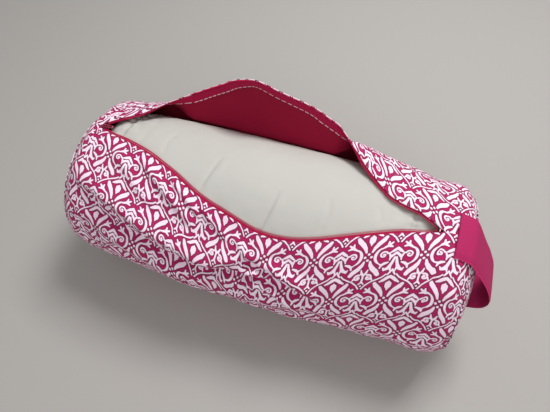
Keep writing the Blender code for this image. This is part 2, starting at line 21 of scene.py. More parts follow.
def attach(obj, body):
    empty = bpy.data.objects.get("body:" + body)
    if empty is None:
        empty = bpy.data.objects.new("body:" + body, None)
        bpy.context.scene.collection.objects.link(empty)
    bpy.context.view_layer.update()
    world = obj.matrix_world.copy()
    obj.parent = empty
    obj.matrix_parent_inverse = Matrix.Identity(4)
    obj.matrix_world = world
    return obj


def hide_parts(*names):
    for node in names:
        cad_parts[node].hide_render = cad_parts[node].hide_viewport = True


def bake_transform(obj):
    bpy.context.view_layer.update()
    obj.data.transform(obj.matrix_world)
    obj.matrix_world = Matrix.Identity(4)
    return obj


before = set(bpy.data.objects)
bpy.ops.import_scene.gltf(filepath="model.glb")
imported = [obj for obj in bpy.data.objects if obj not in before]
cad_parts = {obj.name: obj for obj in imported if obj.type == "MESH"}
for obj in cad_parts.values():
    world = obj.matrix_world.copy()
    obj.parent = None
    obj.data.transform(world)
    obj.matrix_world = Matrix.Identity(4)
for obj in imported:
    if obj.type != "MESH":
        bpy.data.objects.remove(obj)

log = logging.getLogger("round_yoga_bolster")

Array = np.ndarray
Piece = bpy.types.Object
Material = bpy.types.Material
Socket = bpy.types.NodeSocket
Sockets = dict[str, Socket]
Faces = list[tuple[int, ...]]
Knots = tuple[tuple[float, float], ...]
Point = tuple[float, float, float]
Colour = tuple[float, float, float]

CLOTH_MAP = "cloth"
TINY = 1e-9
SAME_PLACE = 0.00001
SAME_RIM = 0.00002
SEED_SHIFT = (1.0, 1.7, -0.6)


class Side(Enum):
    """The two ends of the bolster."""

    LEFT = -1
    RIGHT = 1


class Layer(Enum):
    """A layer of the cover, with its depth and its thickness in metres."""

    PRINT = (0.0, 0.0009)
    LINING = (0.0012, 0.0006)


# Shapes

def smooth_step(t: Array | float) -> Array:
    """Eases from 0 to 1 as t goes from 0 to 1."""
    t = np.clip(t, 0.0, 1.0)
    return t * t * (3.0 - 2.0 * t)


def through(knots: Knots, x: float) -> float:
    """Value of a smooth curve through knots, without overshoot.

    Args:
        knots: Points (x, value) in rising x.
        x: Where the value is wanted.

    Returns:
        The curve's value at x, held at its ends.
    """
    xs = [k[0] for k in knots]
    ys = [k[1] for k in knots]
    if x <= xs[0]:
        return ys[0]
    if x >= xs[-1]:
        return ys[-1]
    steps = [(ys[i + 1] - ys[i]) / (xs[i + 1] - xs[i]) for i in range(len(xs) - 1)]
    slopes = [steps[0]]
    for before, after in zip(steps, steps[1:]):
        slopes.append(0.0 if before * after <= 0.0 else 2.0 * before * after / (before + after))
    slopes.append(steps[-1])
    i = max(k for k in range(len(xs) - 1) if xs[k] <= x)
    width = xs[i + 1] - xs[i]
    t = (x - xs[i]) / width
    bend = slopes[i] + slopes[i + 1] - 2.0 * steps[i]
    ease = 3.0 * steps[i] - 2.0 * slopes[i] - slopes[i + 1]
    return ys[i] + width * t * (slopes[i] + t * (ease + t * bend))


def through_all(knots: Knots, x: Array) -> Array:
    """Values of a smooth curve through knots at many places, read once for each different place.

    Args:
        knots: Points (x, value) in rising x.
        x: Where the values are wanted.

    Returns:
        The values, in the shape of x.
    """
    places, back = np.unique(np.asarray(x, float), return_inverse=True)
    values = np.array([through(knots, float(place)) for place in places])
    return values[back].reshape(np.shape(x))


def run_from(steps: Array) -> Array:
    """How far along a line each of its points lies, from the steps between them on the last axis."""
    return np.concatenate([np.zeros((*steps.shape[:-1], 1)), np.cumsum(steps, axis=-1)], axis=-1)


def to_path(x: Array, arc: Array, path: Knots) -> tuple[Array, Array]:
    """Signed distance of points from a path on the flattened cloth, and how far along it they are.

    Args:
        x: Places along the bolster.
        arc: Places round it, as lengths.
        path: Points (x, arc) of the path.

    Returns:
        The distance, positive on the path's right-hand side, and the share of the path's length there.
    """
    best = np.full(x.shape, np.inf)
    signed = np.zeros(x.shape)
    share = np.zeros(x.shape)
    lengths = [math.dist(a, b) for a, b in zip(path, path[1:])]
    total = sum(lengths)
    run = 0.0
    for (ax, ay), (bx, by), length in zip(path, path[1:], lengths):
        dx, dy = (bx - ax) / length, (by - ay) / length
        t = np.clip((x - ax) * dx + (arc - ay) * dy, 0.0, length)
        px, py = x - ax - t * dx, arc - ay - t * dy
        gap = np.hypot(px, py)
        near = gap < best
        best = np.where(near, gap, best)
        signed = np.where(near, np.copysign(gap, px * dy - py * dx), signed)
        share = np.where(near, (run + t) / total, share)
        run += length
    return signed, share


def waves(points: Array, *layers: Point) -> Array:
    """Smooth noise at each point, as a sum of layers told as (height, size of its lumps, seed).

    Args:
        points: The points, with x, y, z as the last axis.
        layers: Height and size in metres, and a seed that shifts the noise.

    Returns:
        The sum at each point, in metres.
    """
    total = np.zeros(points.shape[:-1])
    for height, size, seed in layers:
        offset = Vector([share * seed for share in SEED_SHIFT])
        values = [noise.noise(Vector(p) / size + offset) for p in points.reshape(-1, 3)]
        total = total + height * np.array(values).reshape(total.shape)
    return total


def deselect() -> None:
    """Leaves nothing selected, so that the next operator acts on new pieces only."""
    if bpy.context.object and bpy.context.object.mode != "OBJECT":
        bpy.ops.object.mode_set(mode="OBJECT")
    bpy.ops.object.select_all(action="DESELECT")


def piece_from(name: str, points: Array, faces: Faces, material: Material,
               flat: Array | None = None) -> Piece:
    """Makes a smooth-shaded piece of cloth from points and faces.

    Args:
        name: The piece's name.
        points: Its points, with x, y, z as the last axis.
        faces: Its faces, as tuples of point numbers.
        material: Its finish.
        flat: A (u, v) for each point, on the cloth laid flat.

    Returns:
        The new object.
    """
    mesh = bpy.data.meshes.new(name)
    mesh.from_pydata(points.reshape(-1, 3).tolist(), [], faces)
    mesh.materials.append(material)
    piece = bpy.data.objects.new(name, mesh)
    bpy.context.scene.collection.objects.link(piece)
    mesh.shade_smooth()
    if flat is not None:
        corners = flat.reshape(-1, 2)[np.array([i for face in faces for i in face])]
        mesh.uv_layers.new(name=CLOTH_MAP).data.foreach_set("uv", corners.astype(np.float32).ravel())
    return piece


def grid_faces(rows: int, columns: int, closed: bool = False, flip: bool = False) -> Faces:
    """Faces of a grid of points that is stored row by row.

    Args:
        rows: Number of rows.
        columns: Number of points in a row.
        closed: Whether each row closes on itself.
        flip: Whether the faces look the other way.

    Returns:
        Faces that turn from a row to the next one.
    """
    faces = []
    for low in range(0, (rows - 1) * columns, columns):
        for c in range(columns if closed else columns - 1):
            d = (c + 1) % columns
            face = (low + c, low + d, low + columns + d, low + columns + c)
            faces.append(face[::-1] if flip else face)
    return faces


def join_close(piece: Piece, distance: float, rims_only: bool = False) -> None:
    """Joins points of a piece that lie closer than a distance: all of them, or those on its open edges.

    Args:
        piece: The piece.
        distance: The distance in metres.
        rims_only: Whether only points on open edges are joined.
    """
    bm = bmesh.new()
    bm.from_mesh(piece.data)
    chosen = [v for v in bm.verts if v.is_boundary or not rims_only]
    bmesh.ops.remove_doubles(bm, verts=chosen, dist=distance)
    bm.to_mesh(piece.data)
    bm.free()


def face_outwards(piece: Piece) -> None:
    """Turns the faces of a piece's closed parts outwards.

    Args:
        piece: The piece.
    """
    bm = bmesh.new()
    bm.from_mesh(piece.data)
    bmesh.ops.recalc_face_normals(bm, faces=bm.faces)
    bm.to_mesh(piece.data)
    bm.free()


def read_points(mesh: bpy.types.Mesh) -> Array:
    """A mesh's points, as rows of x, y, z.

    Args:
        mesh: The mesh.

    Returns:
        The points.
    """
    points = np.empty(len(mesh.vertices) * 3)
    mesh.vertices.foreach_get("co", points)
    return points.reshape(-1, 3)


def write_points(mesh: bpy.types.Mesh, points: Array) -> None:
    """Moves a mesh's points to new places."""
    mesh.vertices.foreach_set("co", points.ravel())
    mesh.update()


def thicken(piece: Piece, thickness: float) -> None:
    """Gives a sheet its thickness, inwards from its faces.

    Args:
        piece: The sheet.
        thickness: Its thickness in metres.
    """
    shell = piece.modifiers.new("cloth", "SOLIDIFY")
    shell.thickness = thickness
    shell.offset = -1.0
    apply_modifiers(piece)


def apply_modifiers(piece: Piece) -> None:
    """Makes a piece's modifiers part of its mesh.

    Args:
        piece: The piece.
    """
    deselect()
    piece.select_set(True)
    bpy.context.view_layer.objects.active = piece
    for step in list(piece.modifiers):
        bpy.ops.object.modifier_apply(modifier=step.name)
    piece.select_set(False)


# Finishes

class NodeBook:
    """Writes nodes into a tree, with short calls for the few kinds that the finishes use."""

    def __init__(self, tree: bpy.types.NodeTree) -> None:
        """Keeps the tree that is written to."""
        self.tree = tree

    def add(self, kind: str, **settings: object) -> bpy.types.Node:
        """Adds a node of a kind and sets its properties.

        Args:
            kind: The node's type.
            settings: Its properties by name.

        Returns:
            The node.
        """
        node = self.tree.nodes.new(kind)
        for name, value in settings.items():
            setattr(node, name, value)
        return node

    def feed(self, socket: Socket, value: object) -> None:
        """Links a socket to another one, or sets its value.

        Args:
            socket: The input.
            value: A socket, or a plain value.
        """
        if isinstance(value, Socket):
            self.tree.links.new(value, socket)
        else:
            socket.default_value = value

    def math(self, operation: str, *values: object) -> Socket:
        """A Math node on the given values, and its result.

        Args:
            operation: What the node works out.
            values: Sockets or numbers.

        Returns:
            The result's socket.
        """
        node = self.add("ShaderNodeMath", operation=operation)
        for socket, value in zip(node.inputs, values):
            self.feed(socket, value)
        return node.outputs[0]

    def vector(self, operation: str, *values: object) -> Socket:
        """A Vector Math node on one or two values, and its result.

        Args:
            operation: What the node works out.
            values: Sockets, vectors or, to scale by, a number.

        Returns:
            The result's socket.
        """
        node = self.add("ShaderNodeVectorMath", operation=operation)
        for index, value in zip((0, 3 if operation == "SCALE" else 1), values):
            self.feed(node.inputs[index], value)
        return node.outputs[1 if operation in ("DOT_PRODUCT", "DISTANCE", "LENGTH") else 0]

    def split(self, vector: Socket) -> tuple[Socket, Socket]:
        """The x and the y of a vector.

        Args:
            vector: The vector's socket.

        Returns:
            The sockets of x and y.
        """
        node = self.add("ShaderNodeSeparateXYZ")
        self.feed(node.inputs[0], vector)
        return node.outputs[0], node.outputs[1]

    def join(self, x: Socket, y: Socket) -> Socket:
        """The vector with the given x and y.

        Args:
            x: The socket of x.
            y: The socket of y.

        Returns:
            The result's socket.
        """
        node = self.add("ShaderNodeCombineXYZ")
        self.feed(node.inputs[0], x)
        self.feed(node.inputs[1], y)
        return node.outputs[0]

    def ramp(self, value: object, low: object, high: object, start: float = 0.0, end: float = 1.0
             ) -> Socket:
        """Eases from start to end as value goes from low to high.

        Args:
            value: What is eased.
            low: Where the ramp starts.
            high: Where it ends.
            start: The result up to low.
            end: The result from high on.

        Returns:
            The result's socket.
        """
        node = self.add("ShaderNodeMapRange", interpolation_type="SMOOTHSTEP")
        for socket, given in zip(node.inputs, (value, low, high, start, end)):
            self.feed(socket, given)
        return node.outputs[0]

    def mix(self, share: object, first: object, second: object) -> Socket:
        """Mixes two colours.

        Args:
            share: How much of the second colour shows.
            first: The first colour.
            second: The second colour.

        Returns:
            The result's socket.
        """
        node = self.add("ShaderNodeMix", data_type="RGBA")
        for index, given in ((0, share), (6, first), (7, second)):
            self.feed(node.inputs[index], (*given, 1.0) if isinstance(given, tuple) else given)
        return node.outputs[2]

    def noise(self, where: object, scale: float, detail: float = 2.0, rough: float = 0.5) -> Socket:
        """Noise from 0 to 1 at a place.

        Args:
            where: The place.
            scale: Lumps in a metre.
            detail: How many finer layers there are.
            rough: How strong they are.

        Returns:
            The result's socket.
        """
        node = self.add("ShaderNodeTexNoise")
        for name, value in (("Vector", where), ("Scale", scale), ("Detail", detail), ("Roughness", rough)):
            self.feed(node.inputs[name], value)
        return node.outputs[0]

    def use(self, group: bpy.types.NodeTree, **values: object) -> bpy.types.Node:
        """Places a group and feeds its inputs, named with _ for a space.

        Args:
            group: The group.
            values: Its inputs by name.

        Returns:
            The group's node.
        """
        node = self.add("ShaderNodeGroup", node_tree=group)
        for name, value in values.items():
            self.feed(node.inputs[name.replace("_", " ")], value)
        return node


class ShaderGroup:
    """A group of shader nodes that is written at its first use.

    Its inputs are told by name, with a number's first value, or None for a vector. Its outputs are numbers.
    """

    title = ""
    inputs: dict[str, float | None] = {}
    outputs: tuple[str, ...] = ("Distance",)
    tree: bpy.types.NodeTree | None = None

    @classmethod
    def node_tree(cls) -> bpy.types.NodeTree:
        """The group, written at its first use.

        Returns:
            The group's node tree.
        """
        if cls.tree is None:
            cls.tree = bpy.data.node_groups.new(cls.title, "ShaderNodeTree")
            for label, value in cls.inputs.items():
                kind = "NodeSocketVector" if value is None else "NodeSocketFloat"
                socket = cls.tree.interface.new_socket(label, in_out="INPUT", socket_type=kind)
                if value is not None:
                    socket.default_value = value
            for label in cls.outputs:
                cls.tree.interface.new_socket(label, in_out="OUTPUT", socket_type="NodeSocketFloat")
            book = NodeBook(cls.tree)
            start = book.add("NodeGroupInput")
            end = book.add("NodeGroupOutput")
            given = {socket.name: socket for socket in start.outputs if socket.name}
            for label, result in zip(cls.outputs, cls.results(book, given)):
                book.feed(end.inputs[label], result)
        return cls.tree

    @staticmethod
    def results(book: NodeBook, given: Sockets) -> tuple[Socket, ...]:
        """Writes the nodes between the inputs and the outputs, and returns a socket for each output.

        Args:
            book: Writes nodes into the group.
            given: The group's inputs by name.

        Returns:
            A socket for each output.
        """
        raise NotImplementedError


class Weave(ShaderGroup):
    """Gives cloth its plain weave, yarns over and under at a Pitch, and slub noise with painted shade between
    the yarns.
    """

    title = "plain_weave"
    inputs = {"Where": None, "Pitch": 0.0006}
    outputs = ("Height", "Slub_And_Gap_Shade")
    slub_size = 900.0
    slub_rough = 0.6
    slub_height = 0.6

    @classmethod
    def results(cls, book: NodeBook, given: Sockets) -> tuple[Socket, ...]:
        """The height of the threads, and their tone.

        Args:
            book: Writes nodes into the group.
            given: The group's inputs by name.

        Returns:
            The height of the yarns, and slub noise with painted shade: darker in the gaps between the yarns.
        """
        place = book.vector("SCALE", given["Where"], book.math("DIVIDE", math.pi, given["Pitch"]))
        warp, weft = (book.math("ABSOLUTE", book.math("SINE", axis)) for axis in book.split(place))
        over = book.math("MULTIPLY", warp, weft)
        slub = book.noise(given["Where"], cls.slub_size, rough=cls.slub_rough)
        height = book.math("MULTIPLY_ADD", slub, cls.slub_height, over)
        # The second result is painted shade: it follows the yarns' height, darkening the gaps between them,
        # mixed with the random slub noise.
        return height, book.math("MULTIPLY_ADD", slub, 0.5, book.math("MULTIPLY", over, 0.5))


class Stroke(ShaderGroup):
    """Measures how far a place on the print is from one tapered brush stroke.

    Measure is the stroke's span over its squared length. Widens is what its half width gains towards its end.
    """

    title = "brush_stroke"
    inputs = {"Place": None, "Start": None, "Span": None, "Measure": None, "Half Width": 0.0, "Widens": 0.0}

    @staticmethod
    def results(book: NodeBook, given: Sockets) -> tuple[Socket, ...]:
        """The distance, negative inside the stroke.

        Args:
            book: Writes nodes into the group.
            given: The group's inputs by name.

        Returns:
            The distance's socket.
        """
        local = book.vector("SUBTRACT", given["Place"], given["Start"])
        held = book.add("ShaderNodeClamp")
        book.feed(held.inputs[0], book.vector("DOT_PRODUCT", local, given["Measure"]))
        share = held.outputs[0]
        gap = book.vector("DISTANCE", local, book.vector("SCALE", given["Span"], share))
        half = book.math("MULTIPLY_ADD", share, given["Widens"], given["Half Width"])
        return (book.math("SUBTRACT", gap, half),)


def local_frame(book: NodeBook, given: Sockets) -> tuple[Socket, Socket, Socket]:
    """A place seen from a shape's Centre: the offset, its part Ahead and its part to the Side."""
    local = book.vector("SUBTRACT", given["Place"], given["Centre"])
    return local, *(book.vector("DOT_PRODUCT", local, given[way]) for way in ("Ahead", "Side"))


class Bow(ShaderGroup):
    """Measures how far a place on the print is from a round bow, thinner at its ends.

    Ahead points to the bow's middle, and Reach is half its angle.
    """

    title = "round_bow"
    inputs = {"Place": None, "Centre": None, "Ahead": None, "Side": None, "Radius": 1.0, "Reach": 1.0,
              "Half Width": 0.0, "Thins": 0.0}

    @staticmethod
    def results(book: NodeBook, given: Sockets) -> tuple[Socket, ...]:
        """The distance, negative inside the bow.

        Args:
            book: Writes nodes into the group.
            given: The group's inputs by name.

        Returns:
            The distance's socket.
        """
        _, ahead, to_side = local_frame(book, given)
        aside = book.math("ABSOLUTE", to_side)
        angle = book.math("ARCTAN2", aside, ahead)
        share = book.math("MINIMUM", book.math("DIVIDE", angle, given["Reach"]), 1.0)
        held = book.math("MULTIPLY", share, given["Reach"])
        nearest = book.join(*(book.math("MULTIPLY", book.math(wave, held), given["Radius"])
                              for wave in ("COSINE", "SINE")))
        gap = book.vector("DISTANCE", book.join(ahead, aside), nearest)
        thinner = book.math("MULTIPLY", book.math("MULTIPLY", share, share), given["Thins"])
        return (book.math("SUBTRACT", gap, book.math("SUBTRACT", given["Half Width"], thinner)),)


class Scroll(ShaderGroup):
    """Measures how far a place on the print is from a scroll that winds inwards.

    Ahead points to its start and Side to where it turns. Each of its Turns draws it in by Pitch and Thins it.
    """

    title = "winding_scroll"
    inputs = {"Place": None, "Centre": None, "Ahead": None, "Side": None, "Radius": 1.0, "Pitch": 1.0,
              "Turns": 1.0, "Half Width": 0.0, "Thins": 0.0}

    @staticmethod
    def results(book: NodeBook, given: Sockets) -> tuple[Socket, ...]:
        """The distance, negative inside the scroll.

        Args:
            book: Writes nodes into the group.
            given: The group's inputs by name.

        Returns:
            The distance's socket.
        """
        local, ahead, aside = local_frame(book, given)
        turned = book.math("FLOORED_MODULO", book.math("ARCTAN2", aside, ahead), math.tau)
        share = book.math("DIVIDE", turned, math.tau)
        off = book.math("SUBTRACT", book.vector("LENGTH", local), given["Radius"])
        missing = book.math("MULTIPLY_ADD", share, given["Pitch"], off)
        wanted = book.math("ROUND", book.math("MULTIPLY", book.math("DIVIDE", missing, given["Pitch"]), -1.0))
        most = book.math("FLOOR", book.math("SUBTRACT", given["Turns"], share))
        ring = book.math("MAXIMUM", book.math("MINIMUM", wanted, most), 0.0)
        gap = book.math("ABSOLUTE", book.math("MULTIPLY_ADD", ring, given["Pitch"], missing))
        thinner = book.math("MULTIPLY", book.math("ADD", ring, share), given["Thins"])
        return (book.math("SUBTRACT", gap, book.math("SUBTRACT", given["Half Width"], thinner)),)


class Damask(ShaderGroup):
    """The print's drawing: a generic ogee of scrolls, crowns, leaves and bars, drawn in brush strokes.

    The drawing is told in units of 1/239 of half a column: across from a column of dots, and down from its
    dots. A row repeats after 470 units, with its columns shifted by half a column. Each stroke is a chain of
    (across, down, half width). A bow is its centre, the angle of its middle, radius, half angle, half width
    and thinning. A scroll is its centre, the angle of its start, which way it turns, radius, pitch, turns and
    half width. The input is a place on the cloth in metres; the distance is in units, negative in the motifs.
    """

    title = "ogee_damask"
    inputs = {"Cloth": None}

    column = 0.0611
    row = 0.0590
    half_column = 239.0
    row_units = 470.0
    margin = 14.0
    widest_stroke = 25.0
    scroll_thins = 0.2
    bud_share = 0.85
    strokes: tuple[tuple[Point, ...], ...] = (
        ((27, 0, 11),), ((0, 30, 11),), ((0, -30, 11),), ((0, 301, 8),),
        ((26, 46, 8), (37, 82, 15), (62, 119, 20), (96, 150, 21), (117, 182, 17)),
        ((26, -52, 8), (42, -92, 15), (70, -132, 20), (102, -166, 20), (119, -192, 14)),
        ((14, 332, 6), (40, 292, 6), (80, 257, 6), (125, 235, 6), (166, 212, 6), (194, 182, 5)),
        ((239, 206, 13), (212, 222, 15), (184, 246, 13), (158, 262, 6)),
        ((239, 256, 5), (239, 286, 27), (239, 308, 25), (239, 336, 10), (239, 352, 3)),
        ((239, -74, 12), (209, -50, 12), (190, -36, 7)),
        ((239, -30, 10), (211, -6, 11), (194, 12, 10), (184, 0, 5)), ((194, 12, 9), (189, 42, 4)),
        ((231, 16, 8), (220, 60, 11), (208, 96, 13), (190, 124, 15), (164, 138, 11), (152, 120, 5)),
        ((209, 110, 10), (218, 146, 5)),
        ((239, 132, 5), (224, 160, 8), (207, 188, 5)),
        ((103, -74, 5), (150, -104, 13), (188, -92, 6)), ((150, -104, 12), (150, -142, 6)),
        ((152, -106, 12), (184, -134, 7)),
        ((180, 64, 7), (152, 74, 12), (130, 90, 11), (122, 118, 6)), ((130, 90, 9), (106, 76, 4)),
        ((0, 186, 9), (18, 164, 10), (28, 130, 5)), ((0, 176, 7), (0, 262, 8)), ((0, 254, 6), (20, 279, 6)),
        ((76, 222, 9), (86, 240, 4)), ((176, -28, 7), (186, -6, 8)),
    )
    bows: tuple[tuple[float, ...], ...] = ((148, -4, 180, 88, 62, 12, 8),)
    scrolls: tuple[tuple[float, ...], ...] = (
        (130, -12, -12, -1, 36, 24, 1.42, 7), (45, 210, -127, 1, 32, 22, 1.36, 8.5))

    @classmethod
    def copies(cls) -> list[Point]:
        """The cell's own drawing, and those of the rows above and below: mirror, shift across, shift down."""
        return [(1.0, 0.0, 0.0), *((-1.0, cls.half_column, down) for down in (cls.row_units, -cls.row_units))]

    @classmethod
    def reaches(cls, heights: list[float], beyond: float) -> bool:
        """Whether a shape that goes beyond the given heights by a length shows in the cell."""
        return max(heights) + beyond > -cls.margin and min(heights) - beyond < cls.row_units + cls.margin

    @classmethod
    def shapes(cls) -> list[tuple[type[ShaderGroup], dict[str, object]]]:
        """Every part of a shape that shows in the cell.

        Returns:
            The group that measures each part, with the values of its inputs.
        """
        found: list[tuple[type[ShaderGroup], dict[str, object]]] = []
        for mirror, across, down in cls.copies():
            for stroke in cls.strokes:
                chain = [(across + mirror * x, down + y, half) for x, y, half in stroke]
                for start, stop in zip(chain, chain[1:] or chain):
                    if cls.reaches([start[1], stop[1]], cls.widest_stroke):
                        span = (stop[0] - start[0], stop[1] - start[1], 0.0)
                        square = max(span[0] ** 2 + span[1] ** 2, 1.0)
                        found.append((Stroke, {
                            "Start": (*start[:2], 0.0), "Span": span,
                            "Measure": tuple(s / square for s in span), "Half_Width": float(start[2]),
                            "Widens": float(stop[2] - start[2])}))
            for x, y, angle, radius, reach, half, thins in cls.bows:
                if cls.reaches([y + down], radius + half):
                    turn = math.radians(angle)
                    found.append((Bow, {
                        "Centre": (across + mirror * x, down + y, 0.0),
                        "Ahead": (mirror * math.cos(turn), math.sin(turn), 0.0),
                        "Side": (-math.sin(turn), mirror * math.cos(turn), 0.0), "Radius": float(radius),
                        "Reach": math.radians(reach), "Half_Width": float(half), "Thins": float(thins)}))
            for x, y, angle, hand, radius, pitch, turns, half in cls.scrolls:
                if cls.reaches([y + down], radius + half):
                    turn = math.radians(angle)
                    centre = Vector((across + mirror * x, down + y, 0.0))
                    ahead = Vector((mirror * math.cos(turn), math.sin(turn), 0.0))
                    side = Vector((-mirror * hand * math.sin(turn), hand * math.cos(turn), 0.0))
                    wound = math.tau * turns
                    inner = (ahead * math.cos(wound) + side * math.sin(wound)) * (radius - pitch * turns)
                    found.append((Scroll, {
                        "Centre": tuple(centre), "Ahead": tuple(ahead), "Side": tuple(side),
                        "Radius": float(radius), "Pitch": float(pitch), "Turns": float(turns),
                        "Half_Width": float(half), "Thins": half * cls.scroll_thins}))
                    found.append((Stroke, {
                        "Start": tuple(centre + inner), "Span": (0.0, 0.0, 0.0), "Measure": (0.0, 0.0, 0.0),
                        "Half_Width": half * cls.bud_share, "Widens": 0.0}))
        return found

    @classmethod
    def results(cls, book: NodeBook, given: Sockets) -> tuple[Socket, ...]:
        """The distance from the nearest shape.

        Args:
            book: Writes nodes into the group.
            given: The group's inputs by name.

        Returns:
            The distance's socket.
        """
        x, y = book.split(given["Cloth"])
        down = book.math("DIVIDE", y, cls.row)
        row = book.math("FLOOR", down)
        odd = book.math("MODULO", book.math("ABSOLUTE", row), 2.0)
        below = book.math("MULTIPLY", book.math("SUBTRACT", down, row), cls.row_units)
        shifted = book.math("MULTIPLY_ADD", odd, 0.5, book.math("DIVIDE", x, cls.column))
        across = book.math("MULTIPLY", book.math("PINGPONG", shifted, 0.5), 2.0 * cls.half_column)
        place = book.join(across, below)
        nearest: Socket | None = None
        for group, values in cls.shapes():
            distance = book.use(group.node_tree(), Place=place, **values).outputs[0]
            nearest = distance if nearest is None else book.math("MINIMUM", nearest, distance)
        return (nearest,)


def new_material(name: str) -> tuple[Material, NodeBook, bpy.types.Node]:
    """A material with nodes, a book that writes to it, and its Principled shader.

    Args:
        name: The material's name.

    Returns:
        The material, a book on its nodes, and its shader node.
    """
    material = bpy.data.materials.new(name)
    material.use_nodes = True
    return material, NodeBook(material.node_tree), material.node_tree.nodes["Principled BSDF"]


@dataclass(frozen=True)
class Cloth:
    """A plain woven cotton, with its sheen, its weave, and the creases that wear has pressed into it."""

    name: str
    colour: Colour
    # shade is the darker colour: random patches, and painted shade between the yarns where patch_share is
    # below 1.
    shade: Colour
    roughness: float = 0.85
    sheen: float = 0.15
    shine: float = 0.25
    pitch: float = 0.0006
    weave: float = 0.25
    weave_height: float = 0.0003
    creases: float = 0.4
    crease_height: float = 0.004
    crease_size: float = 60.0
    crease_rough: float = 0.55
    bump: float = 0.6
    patch_size: float = 14.0
    patch_share: float = 0.5
    uv: str | None = CLOTH_MAP

    def build(self) -> Material:
        """Writes the material: the cloth's tones, its weave and its creases.

        Returns:
            The finished material.
        """
        material, book, shader = new_material(self.name)
        where = self.place(book)
        weave = book.use(Weave.node_tree(), Where=where, Pitch=self.pitch).outputs
        crease = book.noise(where, self.crease_size, 3.0, self.crease_rough)
        pressed = book.math("MULTIPLY", crease, self.creases * self.crease_height)
        height = book.math("MULTIPLY_ADD", weave["Height"], self.weave * self.weave_height, pressed)
        bump = book.add("ShaderNodeBump")
        for name, value in (("Strength", self.bump), ("Distance", 1.0), ("Height", height)):
            book.feed(bump.inputs[name], value)
        painted = self.paint(book, where, weave["Slub_And_Gap_Shade"])
        for name, value in (("Normal", bump.outputs[0]), ("Base Color", painted),
                            ("Roughness", self.roughness), ("Sheen Weight", self.sheen),
                            ("Specular IOR Level", self.shine)):
            book.feed(shader.inputs[name], value)
        return material

    def place(self, book: NodeBook) -> Socket:
        """Where the pattern is read: the piece's own flat map, or its place.

        Args:
            book: Writes nodes into the material.

        Returns:
            The place's socket.
        """
        if self.uv:
            return book.add("ShaderNodeUVMap", uv_map=self.uv).outputs[0]
        return book.add("ShaderNodeTexCoord").outputs["Object"]

    def paint(self, book: NodeBook, where: Socket, weave_slub_shade: Socket) -> Socket:
        """The cloth's colour: its two tones, mixed in random patches and by the weave, which paints shade into
        the gaps between the yarns.

        Args:
            book: Writes nodes into the material.
            where: The place on the cloth.
            weave_slub_shade: The weave's slub noise, with painted shade in the gaps between the yarns.

        Returns:
            The colour's socket.
        """
        # Painted shade: the weave's share darkens the gaps between the yarns; the noise patches are random
        # mottling.
        weave_shade_share = book.math("MULTIPLY", weave_slub_shade, 1.0 - self.patch_share)
        share = book.math("MULTIPLY_ADD", book.noise(where, self.patch_size, 3.0), self.patch_share, weave_shade_share)
        return book.mix(share, self.shade, self.colour)


@dataclass(frozen=True)
class PrintedCloth(Cloth):
    """Cotton printed with the damask: pale motifs with a dark line round them on a magenta ground."""

    patch_size: float = 20.0
    patch_share: float = 1.0
    motif: Colour = (0.90, 0.69, 0.85)
    worn: Colour = (0.95, 0.80, 0.93)
    outline: Colour = (0.15, 0.006, 0.045)
    spread: float = 3.6
    ragged: float = 5.0
    ragged_size: float = 260.0
    worn_size: float = 420.0
    outline_share: float = 0.9
    outline_reach: tuple[float, float] = (6.0, 11.0)
    motif_edge: tuple[float, float] = (-2.0, 2.5)

    def paint(self, book: NodeBook, where: Socket, weave_slub_shade: Socket) -> Socket:
        """The print's colour: the ground, the line round each motif, and the motifs over both.

        Args:
            book: Writes nodes into the material.
            where: The place on the cloth.
            weave_slub_shade: The weave's slub noise with painted shade between the yarns; the ground gives it
                no weight.

        Returns:
            The colour's socket.
        """
        distance = book.use(Damask.node_tree(), Cloth=where).outputs[0]
        drawn = book.math("MULTIPLY_ADD", book.noise(where, self.ragged_size), self.ragged,
                          book.math("SUBTRACT", distance, self.spread))
        ground = super().paint(book, where, weave_slub_shade)
        lined = book.mix(book.ramp(drawn, *self.outline_reach, self.outline_share, 0.0), ground, self.outline)
        motif = book.mix(book.noise(where, self.worn_size), self.motif, self.worn)
        return book.mix(book.ramp(drawn, *self.motif_edge, 1.0, 0.0), lined, motif)


@dataclass(frozen=True)
class StitchedCloth(Cloth):
    """Webbing or tape with rows of stitches; its map runs along it in metres, and across it from -1 to 1."""

    patch_size: float = 30.0
    patch_share: float = 0.6
    rows: tuple[float, ...] = (0.88,)
    stitch: float = 0.004
    thread: Colour = (0.35, 0.01, 0.07)
    thread_reach: tuple[float, float] = (0.0004, 0.0008)
    dash_edge: tuple[float, float] = (0.12, 0.18)
    half_width: float = 0.03

    def place(self, book: NodeBook) -> Socket:
        """Where the weave is read, in metres both ways."""
        return book.vector("MULTIPLY", super().place(book), (1.0, self.half_width, 0.0))

    def paint(self, book: NodeBook, where: Socket, weave_slub_shade: Socket) -> Socket:
        """The cloth's colour, with dashes of thread in each row of stitches.

        Args:
            book: Writes nodes into the material.
            where: The place on the cloth.
            weave_slub_shade: The weave's slub noise, with painted shade in the gaps between the yarns.

        Returns:
            The colour's socket.
        """
        along, across = book.split(super().place(book))
        within = book.math("PINGPONG", along, self.stitch / 2)
        dash = book.ramp(within, *(self.stitch * share for share in self.dash_edge))
        lines: Socket | None = None
        for row in self.rows:
            away = book.math("ABSOLUTE", book.math("SUBTRACT", across, row))
            line = book.ramp(book.math("MULTIPLY", away, self.half_width), *self.thread_reach, 1.0, 0.0)
            lines = line if lines is None else book.math("MAXIMUM", lines, line)
        return book.mix(book.math("MULTIPLY", dash, lines), super().paint(book, where, weave_slub_shade), self.thread)


